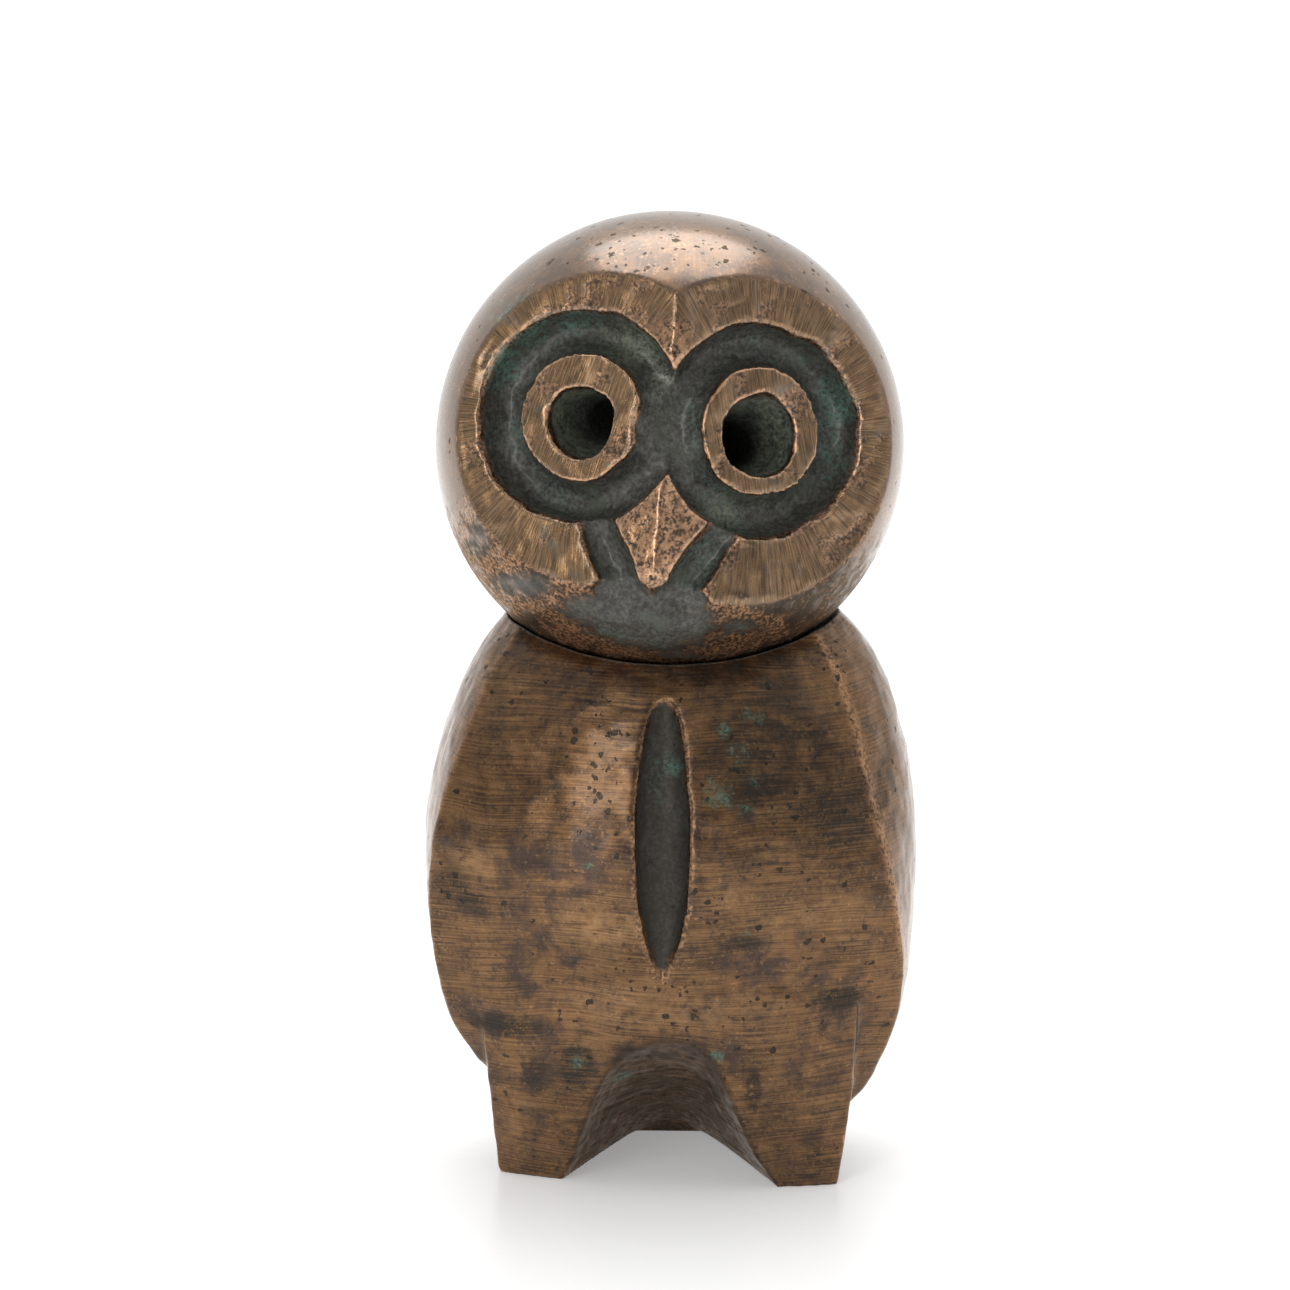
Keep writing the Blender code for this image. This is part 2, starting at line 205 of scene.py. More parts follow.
# %% [markdown]
# Round each eye runs a broad trench with steep sides. A torus has a round section, so its depth
# is squared off in code before it is used as a carving tool, and its outer side is opened out
# near the flat, as the smith broke that edge with the corner of the chisel.

# %% Eye trenches
RING_RADIUS = 7.85 * MM
TRENCH_RADIUS = 13.3 * MM
TRENCH_DEPTH = 4.1 * MM
TRENCH_SQUARENESS = 0.72
TRENCH_FLATTEN = 0.045
BROKEN_EDGE = 0.55 * MM
BROKEN_DEPTH = 0.9 * MM


def trench_tool(side):
    middle = (RING_RADIUS + TRENCH_RADIUS) / 2
    half = (TRENCH_RADIUS - RING_RADIUS) / 2
    deselect()
    bpy.ops.mesh.primitive_torus_add(
        major_radius=middle, minor_radius=half, major_segments=128, minor_segments=48
    )
    tool = named("trench_tool")
    for point in tool.data.vertices:
        share = abs(point.co.z) / half
        sunk = share**TRENCH_SQUARENESS * TRENCH_DEPTH
        across = math.hypot(point.co.x, point.co.y)
        opened = BROKEN_EDGE * max(0, 1 - sunk / BROKEN_DEPTH) if across > middle else 0
        point.co.x *= (across + opened) / across
        point.co.y *= (across + opened) / across
        point.co.y *= 1 - TRENCH_FLATTEN * max(0, (across - middle) / half)
        point.co.z = math.copysign(sunk, point.co.z)
    return settle(tool, Matrix.Translation(EYES[side]) @ flat_turn(side))


for side in (-1, 1):
    carve(head, trench_tool(side))
print("trenches cut:", len(head.data.vertices), "points")

# %% [markdown]
# The eyes are opened out to a cone at the mouth and drilled on from there. The tool is a cone
# primitive whose small end is extruded. The two eyes are not quite the same size, and their
# drills did not run quite level, because they were made by hand.

# %% Eye bores
EYE_RADII = {-1: 4.45 * MM, 1: 5.1 * MM}
EYE_DROP = Vector((0, 0, -0.6 * MM))
EYE_RISE = {-1: math.radians(6), 1: math.radians(-5)}
EYE_DEPTH = 19 * MM
CONE_DEPTH = 8.5 * MM
DRILL_SHARE = 0.56
PROUD = 4 * MM


def bore_tool(side):
    """A mouth cone whose inner cap is drawn out into the drilled hole."""
    radius = EYE_RADII[side]
    flare = radius * (1 - DRILL_SHARE) / CONE_DEPTH
    length = CONE_DEPTH + PROUD
    deselect()
    bpy.ops.mesh.primitive_cone_add(
        vertices=64,
        radius1=radius + flare * PROUD,
        radius2=radius * DRILL_SHARE,
        depth=length,
        location=(0, 0, length / 2 - PROUD),
    )
    tool = named("bore_tool")
    bpy.ops.object.transform_apply(location=True, rotation=True, scale=True)
    bpy.ops.object.mode_set(mode="EDIT")
    bpy.ops.mesh.select_all(action="DESELECT")
    bpy.ops.object.mode_set(mode="OBJECT")
    for face in tool.data.polygons:
        face.select = face.normal.z > 0.9
    bpy.ops.object.mode_set(mode="EDIT")
    bpy.ops.mesh.extrude_region_move(TRANSFORM_OT_translate={"value": (0, 0, EYE_DEPTH - CONE_DEPTH)})
    bpy.ops.object.mode_set(mode="OBJECT")
    rise = Matrix.Rotation(EYE_RISE[side], 4, "X")
    return settle(tool, Matrix.Translation(EYES[side] + EYE_DROP) @ flat_turn(side) @ rise)


for side in (-1, 1):
    carve(head, bore_tool(side))
print("eyes bored:", len(head.data.vertices), "points")

# %% [markdown]
# The metal between the eyes is hollowed to the depth of the trenches, and a slanted hollow on
# each side, opened out at its foot, leaves the beak standing as a kite with a ridge down it.
# Each tool is a stretched sphere, which leaves the soft hollow of a round-nosed chisel.

# %% Hollows round the beak
HOLLOWS = (
    # x from the midline, y and z; half width, depth and half height; lean. In mm and degrees.
    (0.2, -23.9, 1.4, 4.9, 4.6, 5.0, 0.0),
    (7.3, -22.9, -11.8, 2.7, 3.9, 10.8, 33.0),
    (-7.1, -22.9, -11.8, 2.7, 3.9, 10.8, -31.0),
    (3.8, -22.0, -20.0, 4.2, 3.2, 3.2, 24.0),
    (-4.4, -22.0, -20.0, 4.6, 3.2, 3.4, -20.0),
)


def hollow_tool(x, y, z, half_width, depth, half_height, lean):
    deselect()
    bpy.ops.mesh.primitive_uv_sphere_add(segments=48, ring_count=24, radius=1)
    tool = named("hollow_tool")
    size = Matrix.Diagonal((half_width * MM, depth * MM, half_height * MM, 1))
    turn = Matrix.Rotation(math.radians(lean), 4, "Y")
    return settle(tool, Matrix.Translation((x * MM + MIDLINE, y * MM, z * MM)) @ turn @ size)


for hollow in HOLLOWS:
    carve(head, hollow_tool(*hollow))
print("face carved:", len(head.data.vertices), "points")

# %% [markdown]
# ## From hard edges to a casting
# Bronze that was cast, filed and handled for years has no mathematically sharp edge. The voxel
# remesh lays one even skin over the carved shape, and a little smoothing rounds every edge.

# %% Skin and smooth
def cast_skin(piece, voxel, smoothing):
    remesh = piece.modifiers.new("skin", "REMESH")
    remesh.mode = "VOXEL"
    remesh.voxel_size = voxel
    apply_all(piece)
    smooth = piece.modifiers.new("soften", "SMOOTH")
    smooth.factor = 0.5
    smooth.iterations = smoothing
    apply_all(piece)
    return piece


cast_skin(head, 0.37 * MM, 1)
print("head skin:", len(head.data.polygons), "faces")


# %% [markdown]
# Point-by-point work is done on arrays. These helpers read a mesh into arrays, move its points,
# and tell ridges from hollows by how far a point stands off its smoothed neighbourhood.

# %% Helpers for surface work
def points_of(piece):
    values = np.empty(len(piece.data.vertices) * 3)
    piece.data.vertices.foreach_get("co", values)
    return values.reshape(-1, 3)


def normals_of(piece):
    values = np.empty(len(piece.data.vertices) * 3)
    piece.data.vertices.foreach_get("normal", values)
    return values.reshape(-1, 3)


def set_points(piece, points):
    piece.data.vertices.foreach_set("co", points.ravel())
    piece.data.update()


def edges_of(piece):
    values = np.empty(len(piece.data.edges) * 2, dtype=np.int64)
    piece.data.edges.foreach_get("vertices", values)
    return values.reshape(-1, 2)


def relaxed(values, edges, rounds):
    """Values at the points, each drawn towards its neighbours' mean, so many times over."""
    first, second = edges[:, 0], edges[:, 1]
    total = len(values)
    count = np.bincount(edges.ravel(), minlength=total).astype(float)
    count[count == 0] = 1
    columns = values.reshape(total, -1).astype(float)
    for _ in range(rounds):
        for k in range(columns.shape[1]):
            column = columns[:, k]
            pulled = np.bincount(first, column[second], total) + np.bincount(second, column[first], total)
            columns[:, k] = 0.5 * column + 0.5 * pulled / count
    return columns.reshape(values.shape)


def ramp(values, low, high):
    return np.clip((values - low) / (high - low), 0, 1)


def field(points, size, seed, octaves=2):
    """Smooth noise from -1 to 1 at each point, with features of about the given size."""
    shift = Vector((seed * 7.3, seed * 3.1, -seed * 5.7))
    return np.array([noise.fractal(Vector(p) / size + shift, 1.0, 2.0, octaves) for p in points])


def nearness(points, place, reach):
    """One at a place, fading away from it; the place and the reach each way are in mm."""
    return np.exp(-(((points / MM - np.array(place)) / np.array(reach)) ** 2).sum(axis=1))


def store(piece, name, values):
    layer = piece.data.attributes.new(name, "FLOAT", "POINT")
    layer.data.foreach_set("value", np.ascontiguousarray(values, dtype=np.float32))


# %% [markdown]
# A file and a chisel never follow a line exactly. A slow sideways wander of a few tenths of a
# millimetre makes the circles and edges of the face look cut by hand. The saddle between the
# eyes and the metal under the beak are rubbed soft first. The ball itself only ever loses
# metal, so the head stays inside the size it has in the frame.

# %% Hand-made wander on the head
def wander(points, size, reach, seed):
    drift = np.stack([field(points, size, seed + k) for k in range(3)], axis=1)
    return points + drift * reach


points = points_of(head)
saddle = nearness(points, (MIDLINE / MM, -22, 1.8), (2.8, 7, 3.4))
below = nearness(points, (MIDLINE / MM, -20, -21.5), (9, 7, 2.8))
softened = np.minimum(1.6 * (saddle + below), 1)[:, None]
points = points + (relaxed(points, edges_of(head), 40) - points) * softened
face_depth = BALL_RADIUS - np.linalg.norm(points, axis=1)
on_face = ramp(face_depth, 0.2 * MM, 0.8 * MM)[:, None]
moved = wander(points, 5 * MM, 0.35 * MM, 11)
moved = moved + (wander(points, 1.6 * MM, 0.10 * MM, 21) - points)
points = points + (moved - points) * on_face
direction = points / np.linalg.norm(points, axis=1)[:, None]
dents = 0.10 * MM * (field(points, 12 * MM, 31) + 1) / 2
points = points - direction * dents[:, None]
reach = np.linalg.norm(points, axis=1)
points *= np.minimum(1, (BALL_RADIUS - 0.01 * MM) / reach)[:, None]
set_points(head, points)
print("head wandered")

# %% [markdown]
# ## Marks for the finish
# The colour of old bronze follows its shape: hollows hold charcoal patina and verdigris, filed
# flats stay plain metal, and the crests of edges are rubbed to bright copper. Each of these is
# measured here and stored on the mesh, so that the materials can read it. The grain of the file
# is stored too, as a pair of coordinates: one counts across the scratches, the other along them.

# %% Helpers for marks
def crest_and_cavity(piece):
    """How far each point stands out of its close neighbourhood, and how far it lies in a hollow."""
    points = points_of(piece)
    normals = normals_of(piece)
    edges = edges_of(piece)
    near = relaxed(points, edges, 3)
    wide = relaxed(near, edges, 40)
    stand = ((points - near) * normals).sum(axis=1)
    sink = -((points - wide) * normals).sum(axis=1)
    return stand, sink


def patches(across, up, spots):
    """A mask from round-edged spots, each given as x, z, reach across, reach up and strength in mm."""
    mask = np.zeros(len(across))
    for x, z, reach_x, reach_z, strength in spots:
        away = ((across / MM - x) / reach_x) ** 2 + ((up / MM - z) / reach_z) ** 2
        mask = np.maximum(mask, strength * np.exp(-away))
    return mask


# %% [markdown]
# Where the head is filed bright, worn and sunk is measured on the finished mesh. Each patch is x
# and height from the ball's centre, half width and half height in mm, and a strength.

# %% Marks on the head
HEAD_GREEN = (
    (-19.5, 13.0, 3.5, 3.5, 1.0),
    (-21.5, 8.0, 2.5, 3.5, 0.9),
    (-14.0, 13.5, 4.0, 2.0, 0.6),
    (-18.0, 1.0, 2.5, 4.0, 0.5),
    (14.5, 12.0, 3.5, 2.5, 0.5),
    (19.5, 6.5, 2.5, 4.0, 1.0),
    (19.5, 0.5, 2.5, 3.5, 0.7),
)
HEAD_PALE = (
    (-5.0, 12.0, 4.0, 3.0, 1.0),
    (-2.0, 7.5, 2.0, 3.5, 0.5),
    (7.0, -8.0, 2.5, 2.0, 0.9),
    (11.0, -5.5, 3.0, 1.5, 0.4),
)
HEAD_PITS = (
    (-6.5, 22.0, 6.0, 3.0, 1.4),
    (1.0, 24.0, 9.0, 2.5, 0.7),
    (-1.0, 9.5, 3.0, 3.0, 0.8),
    (14.0, 22.0, 3.0, 3.0, 0.6),
)
# Painted shade on the chin of the ball, under the face: soft patches, and deeper ones that darken it like
# a hollow.
CHIN_SHADE_PATCHES = (
    (0.0, -21.0, 10.0, 4.2, 1.25),
    (-14.0, -19.5, 5.5, 3.0, 0.8),
    (12.5, -21.0, 6.0, 2.5, 0.7),
    (-6.0, -26.0, 6.0, 1.6, 0.8),
)
CHIN_DEEP_SHADE_PATCHES = (
    (0.0, -21.5, 8.5, 3.6, 2.2),
    (-6.0, -21.0, 6.0, 2.4, 1.6),
    (-15.5, -18.5, 6.0, 2.6, 1.15),
    (-21.5, -13.5, 3.0, 4.0, 0.95),
    (11.0, -21.5, 5.0, 1.6, 1.1),
    (4.0, -25.5, 5.0, 1.2, 1.0),
)
CHIN_TOP = -6.0 * MM
CHIN_FOOT = -16.0 * MM

points = points_of(head)
across = points[:, 0] - MIDLINE
up = points[:, 2]
front = points[:, 1] < 0

below_flats = [FLAT_DISTANCES[side] - points @ np.array(flat_normal(side)) for side in (-1, 1)]
below_flat = np.minimum(*below_flats)
below_ball = BALL_RADIUS - np.linalg.norm(points, axis=1)
filed = 1 - ramp(np.abs(below_flat), 0.15 * MM, 0.35 * MM)
filed *= ramp(below_ball, 0.10 * MM, 0.25 * MM)
# The deeper painted shade on the chin is laid into the depth mark, so the dark hollow colour covers it.
deep_chin_shade = np.minimum(patches(across, up, CHIN_DEEP_SHADE_PATCHES), 1.3) * front
depth = np.maximum(np.minimum(below_ball, below_flat) / MM, deep_chin_shade * (1 - filed))
stand, sink = crest_and_cavity(head)
print("stand-out in microns:", np.percentile(stand, [90, 95, 98, 99]) / MM * 1000)
crest = ramp(stand, 0.028 * MM, 0.075 * MM)
cavity = ramp(sink, 0.05 * MM, 0.5 * MM)

# %% [markdown]
# The beak and the brow are handled most and shine. The chin, under the face, is darkened with
# painted shade, and the walls of the eye bores are given a pale colour that is painted light.

# %% Beak, brow and chin
beak = 1 - ramp(np.abs(across), 4.5 * MM, 6.5 * MM)
beak *= 1 - ramp(np.abs(up + 10.5 * MM), 7.0 * MM, 8.5 * MM)
beak *= front * (1 - ramp(depth, 1.2, 2.0))
brow = 1 - ramp(np.abs(across), 1.2 * MM, 3.4 * MM)
brow *= (1 - ramp(np.abs(up - 10.5 * MM), 3.5 * MM, 5.0 * MM)) * front
rubbed = np.maximum(beak, brow * 0.8)
# Painted shade on the chin, darker lower down under the face; the copper crests are dimmed inside it.
chin_shade = (1 - ramp(up, CHIN_FOOT, CHIN_TOP)) * ramp(up, -30 * MM, -25 * MM) * front * 0.85
chin_shade = np.maximum(chin_shade, patches(across, up, CHIN_SHADE_PATCHES) * front)
soot_and_shade = chin_shade * (1 - filed) * (1 - rubbed) * (1 - ramp(depth, 0.8, 1.4))
crest *= 1 - 0.85 * chin_shade * (1 - ramp(np.abs(across), 8 * MM, 11 * MM))
store(head, "depth", depth)
store(head, "filed", filed * (1 - rubbed))
store(head, "crest", crest)
store(head, "cavity", cavity)
store(head, "rubbed", rubbed)
store(head, "soot_and_shade", soot_and_shade)
store(head, "light", np.zeros(len(points)))
store(head, "green", patches(points[:, 0], up, HEAD_GREEN) * front)
# Painted light: a pale colour is laid round the walls of the eye bores, on top of the pale patches.
bores = [EYES[side] + EYE_DROP for side in (-1, 1)]
from_bore = np.minimum(*[np.hypot(points[:, 0] - bore.x, up - bore.z) for bore in bores])
lit_bore_walls = (from_bore < 5.6 * MM) * ramp(depth, 0.8, 1.4) * (1 - ramp(depth, 5.0, 9.0)) * front
store(head, "pale", np.maximum(patches(points[:, 0], up, HEAD_PALE) * front, lit_bore_walls * 0.55))
store(head, "pitted", patches(points[:, 0], up, HEAD_PITS) * front)
print("rubbed and sooty:", round(float(beak.mean()), 3), round(float(soot_and_shade.mean()), 3))

# %% [markdown]
# The file left three kinds of scratches: rays out from each eye on the flats, slanted level
# strokes on the rings, and long strokes down the ball.

# %% Scratches on the head
SCRATCH = 0.17 * MM
STROKE = 4.0 * MM
RAY_RADIUS = 15 * MM
side_of = np.where(across < 0, -1, 1)
eye_x = np.where(side_of < 0, EYES[-1].x, EYES[1].x)
spread = np.hypot(points[:, 0] - eye_x, up - EYE_UP)
angle = np.arctan2(up - EYE_UP, (points[:, 0] - eye_x) * side_of)
count_out = angle * RAY_RADIUS / SCRATCH
count_ring = (points[:, 0] + 0.25 * (up - EYE_UP) * side_of) / SCRATCH
meridian = np.arctan2(points[:, 0], -points[:, 1]) * BALL_RADIUS / (SCRATCH * 1.5)
on_ring = spread < (RING_RADIUS + 1.0 * MM)
on_ball = below_ball < 0.15 * MM
grain_u = np.where(on_ball, meridian, np.where(on_ring, count_ring, count_out))
grain_v = np.where(on_ball, up, np.where(on_ring, up, spread)) / STROKE
store(head, "grain_u", grain_u)
store(head, "grain_v", grain_v)
print("head marks:", [round(float(values.mean()), 3) for values in (filed, crest, soot_and_shade)])

# %% [markdown]
# The finished head is turned to the lean it has in the frame, and the hole for the neck stud is
# drilled up into it from below.

# %% Place the head
settle(head, HEAD_PLACE)
STUD_HOLE_RADIUS = 2.3 * MM
STUD_HOLE_TOP = 14.7 * MM
DRILL_LENGTH = 25 * MM
deselect()
bpy.ops.mesh.primitive_cylinder_add(
    vertices=32, radius=STUD_HOLE_RADIUS, depth=DRILL_LENGTH, end_fill_type="TRIFAN"
)
hole_tool = named("hole_tool")
hole_lean = Matrix.Rotation(HEAD_LEAN, 4, "Y")
below_ball_centre = Matrix.Translation((0, 0, -STUD_HOLE_TOP - DRILL_LENGTH / 2))
settle(hole_tool, Matrix.Translation(NECK) @ hole_lean @ below_ball_centre)
carve(head, hole_tool)
print("head:", len(head.data.polygons), "faces")

# %% [markdown]
# ## The body
# Seen from above, every level of the trunk is a shallow arc for the chest, a ridge at each side,
# and then the folded wings, rounding off at the back. A few heights with their widths and depths
# set the outline, and a smooth curve runs through them. A sphere primitive has the right kind of
# skin, rings and two poles, so each of its rings is moved out to one level of the trunk.

# %% Body outline
# Each outline is a row of pairs in mm: a height, and the width or depth there.
LEFT_WIDTH = (
    (3.5, 9.0), (8, 16.0), (12, 21.8), (17, 25.9), (25, 29.0),
    (42, 30.5), (54, 28.4), (65, 23.6), (73, 17.0),
)
RIGHT_WIDTH = (
    (3.5, 14.0), (8, 23.2), (15, 27.4), (24, 30.0),
    (42, 31.0), (54, 29.3), (65, 25.2), (73, 17.6),
)
FRONT_DEPTH = ((3.5, 8.0), (15, 17.5), (28, 23.8), (42, 26.0), (55, 23.8), (65.6, 17.2), (73, 8.0))
BACK_DEPTH = ((3.5, 9.0), (15, 20.0), (28, 25.8), (42, 28.2), (55, 26.8), (65, 23.5), (73, 16.0))
RIDGE_SHARE = (
    (3.5, 0.975), (26, 0.968), (36, 0.94), (42, 0.91),
    (48, 0.885), (54, 0.865), (65, 0.85), (73, 0.85),
)
RIGHT_RIDGE = 0.955
LEFT_RIDGE = 1.055
RIDGES_PART_AT = 26.0
RIDGES_PART_OVER = 20.0
RIDGE_DEPTH_SHARE = 0.68
LEFT_LEG_WIDTH = ((0, 21.2), (10, 21.9), (20, 22.8), (31, 22.8))
RIGHT_LEG_WIDTH = ((0, 21.4), (10, 22.8), (20, 23.6), (31, 23.6))
LEG_FRONT = ((0, 17.0), (8, 20.0), (15, 22.2), (24, 23.6), (31, 23.8))
LEG_BACK = ((0, 13.5), (10, 16.5), (31, 21.0))
LEG_FRONT_RADIUS = 46.0
LEG_TOP = 31.0
RIGHT_FOOT_STEP = 4.6


def along(outline, height):
    """The value of an outline at a height, on a smooth curve through its points."""
    heights = [point[0] for point in outline]
    values = [point[1] for point in outline]
    height = min(max(height, heights[0]), heights[-1])
    last = len(outline) - 1
    slopes = []
    for i in range(last + 1):
        low, high = max(i - 1, 0), min(i + 1, last)
        slopes.append((values[high] - values[low]) / (heights[high] - heights[low]))
    i = max(k for k in range(last) if heights[k] <= height)
    span = heights[i + 1] - heights[i]
    t = (height - heights[i]) / span
    rise = values[i + 1] - values[i]
    start, end = slopes[i] * span, slopes[i + 1] * span
    return values[i] + t * start + t * t * (3 * rise - 2 * start - end) + t**3 * (start + end - 2 * rise)


def widened(ring, width, left, right):
    """One level, with each side stretched from the mean half width to its own."""
    return [(x * (left if x < 0 else right) / width, y) for x, y in ring]


def ridge_pull(height, across):
    """The two ridges are not alike: the right one lies farther in, the left one farther out."""
    fade = min(max((height - RIDGES_PART_AT) / RIDGES_PART_OVER, 0), 1)
    return 1 + fade * ((RIGHT_RIDGE if across > 0 else LEFT_RIDGE) - 1)


def trunk_level(height, count):
    """Points round one level of the trunk, from the left ridge by way of the chest."""
    left, right = along(LEFT_WIDTH, height), along(RIGHT_WIDTH, height)
    width = (left + right) / 2
    front, back = along(FRONT_DEPTH, height), along(BACK_DEPTH, height)
    share = along(RIDGE_SHARE, height)
    ridge_x, ridge_y = share * width, RIDGE_DEPTH_SHARE * front
    sag = front - ridge_y
    arc_radius = (ridge_x**2 + sag**2) / (2 * sag)
    half_angle = math.asin(ridge_x / arc_radius)
    start = math.acos(share)
    wing_depth = ridge_y / math.sin(start)
    chest_count = count // 3
    ring = []
    for i in range(count):
        if i <= chest_count:
            angle = half_angle * (2 * i / chest_count - 1)
            across = arc_radius * math.sin(angle)
            across *= ridge_pull(height, across)
            ring.append((across, -front + arc_radius * (1 - math.cos(angle))))
        else:
            angle = -start + (math.pi + 2 * start) * (i - chest_count) / (count - chest_count)
            depth = wing_depth if math.sin(angle) < 0 else back
            across = width * math.cos(angle)
            if math.sin(angle) < 0:
                pull = ridge_pull(height, across) - 1
                across *= 1 + pull * (math.sin(angle) / math.sin(-start)) ** 2
            ring.append((across, depth * math.sin(angle)))
    return widened(ring, width, left, right)


def leg_level(height, count):
    """Points round one level of the legs: the chest's arc in front, square corners, round behind."""
    left, right = along(LEFT_LEG_WIDTH, height), along(RIGHT_LEG_WIDTH, height)
    width = (left + right) / 2
    front, back = along(LEG_FRONT, height), along(LEG_BACK, height)
    step = RIGHT_FOOT_STEP * (1 - height / LEG_TOP)
    front_count = count // 3
    ring = []
    for i in range(count):
        if i <= front_count:
            x = width * (2 * i / front_count - 1)
            y = -front + LEG_FRONT_RADIUS - math.sqrt(LEG_FRONT_RADIUS**2 - x * x)
            ring.append((x, y - step * max(x, 0) / width if y < 0 else y))
        else:
            angle = math.pi * (i - front_count) / (count - front_count)
            ring.append((width * math.cos(angle), back * math.sin(angle)))
    return widened(ring, width, left, right)


def lofted(name, level, low, high, around=192, up=120):
    """A sphere whose rings are moved out to the levels of a shape, from its foot to its top."""
    deselect()
    bpy.ops.mesh.primitive_uv_sphere_add(segments=around, ring_count=up, radius=1)
    piece = named(name)
    rings = {}
    for k in range(1, up):
        height = high + (low - high) * (k - 1) / (up - 2)
        rings[k] = (height, level(height, around))
    for point in piece.data.vertices:
        k = round(math.acos(max(-1.0, min(1.0, point.co.z))) / math.pi * up)
        if k in (0, up):
            point.co = (NECK.x, NECK.y, (high if k == 0 else low) * MM)
            continue
        i = round(math.atan2(point.co.y, point.co.x) / (2 * math.pi) * around) % around
        height, ring = rings[k]
        x, y = ring[i]
        point.co = (NECK.x + x * MM, NECK.y + y * MM, height * MM)
    return piece


body = lofted("owl_body", trunk_level, 3.5, 73.0)
carve(body, lofted("legs_tool", leg_level, 0.0, LEG_TOP), "UNION")
print("body blank:", len(body.data.vertices), "points")

# %% [markdown]
# The hollow between the feet is an arch at the front that runs back and down to the floor. Its
# tool is a lofted solid too, laid along Y: each section is the arch's outline, smaller as it
# goes back. Its right side leans in a little more than its left. No primitive has this shape,
# so its points are set out in code and joined into a closed mesh.

# %% Hollow between the feet
ARCH_OUTLINE = (
    (1.0, 0.0), (0.84, 0.25), (0.72, 0.46), (0.61, 0.64),
    (0.48, 0.81), (0.33, 0.93), (0.17, 0.985), (0.0, 1.0),
)
ARCH_SKEW = 0.09
ARCH_FRONT = (-18.0, 14.0, 17.0)
ARCH_BACK = (7.0, 4.8, 0.9)
ARCH_REACH = -34.0
ARCH_STEPS = 24


def arch_tool():
    shares = [(x - ARCH_SKEW * math.sin(math.pi * z), z) for x, z in ARCH_OUTLINE]
    shares += [(-x, z) for x, z in reversed(ARCH_OUTLINE[:-1])]
    shares = [(1.0, -0.2)] + shares + [(-1.0, -0.2)]
    points = []
    for i in range(ARCH_STEPS + 1):
        y = ARCH_REACH + (ARCH_BACK[0] - ARCH_REACH) * i / ARCH_STEPS
        share = (y - ARCH_FRONT[0]) / (ARCH_BACK[0] - ARCH_FRONT[0])
        width = ARCH_FRONT[1] + (ARCH_BACK[1] - ARCH_FRONT[1]) * share
        height = ARCH_FRONT[2] + (ARCH_BACK[2] - ARCH_FRONT[2]) * share
        for x, z in shares:
            up = z * height if z > 0 else z * 10
            points.append((NECK.x + x * width * MM, NECK.y + y * MM, up * MM))
    count = len(shares)
    faces = []
    for i in range(ARCH_STEPS):
        for j in range(count):
            k = (j + 1) % count
            faces.append((i * count + j, i * count + k, (i + 1) * count + k, (i + 1) * count + j))
    faces.append(tuple(reversed(range(count))))
    faces.append(tuple(range(ARCH_STEPS * count, (ARCH_STEPS + 1) * count)))
    mesh = bpy.data.meshes.new("arch_tool")
    mesh.from_pydata(points, [], faces)
    tool = bpy.data.objects.new("arch_tool", mesh)
    bpy.context.scene.collection.objects.link(tool)
    choose(tool)
    bpy.ops.object.mode_set(mode="EDIT")
    bpy.ops.mesh.select_all(action="SELECT")
    bpy.ops.mesh.normals_make_consistent(inside=False)
    bpy.ops.object.mode_set(mode="OBJECT")
    return tool


carve(body, arch_tool())
print("arch cut:", len(body.data.vertices), "points")

# %% [markdown]
# The chest groove is a long leaf, half a spindle deep. A sphere is drawn out to a spindle and
# bent to follow the chest, so that the groove is as deep at its ends as its width allows.

# %% Chest groove
LEAF_MIDDLE = 45.2
LEAF_HALF_LENGTH = 17.3
LEAF_HALF_WIDTH = 3.4
LEAF_SHIFT = -0.3
LEAF_DEPTH_SHARE = 0.85
LEAF_TOP_FULLNESS = -0.05
LEAF_FOOT_FULLNESS = 0.2


def leaf_tool():
    deselect()
    bpy.ops.mesh.primitive_uv_sphere_add(segments=48, ring_count=64, radius=1)
    tool = named("leaf_tool")
    for point in tool.data.vertices:
        share = point.co.z
        height = LEAF_MIDDLE + LEAF_HALF_LENGTH * share
        fullness = LEAF_TOP_FULLNESS if share > 0 else LEAF_FOOT_FULLNESS
        slim = max(1 - share * share, 1e-6) ** fullness
        x = point.co.x * slim * LEAF_HALF_WIDTH
        y = point.co.y * slim * LEAF_HALF_WIDTH * LEAF_DEPTH_SHARE - along(FRONT_DEPTH, height)
        point.co = (NECK.x + (x + LEAF_SHIFT) * MM, NECK.y + y * MM, height * MM)
    return tool


carve(body, leaf_tool())
cast_skin(body, 0.41 * MM, 3)
print("body skin:", len(body.data.polygons), "faces")

# %% [markdown]
# The chest rolls over softly into the top of the arch, where fingers lift the owl. Relaxing the
# points of that edge far more than the rest wears it away in the same manner.

# %% Worn edge over the arch
points = points_of(body)
worn = nearness(points, (NECK.x / MM, NECK.y / MM - 22, 19.5), (8, 9, 5))[:, None]
points = points + (relaxed(points, edges_of(body), 30) - points) * np.minimum(worn * 1.2, 1)
set_points(body, points)
print("worn edge:", int((worn > 0.5).sum()), "points")

# %% [markdown]
# Chasing and filing by hand left the skin of the body faintly hollowed and rippled. The feet
# stay flat on the floor, and no point leaves the size the casting has in the frame.

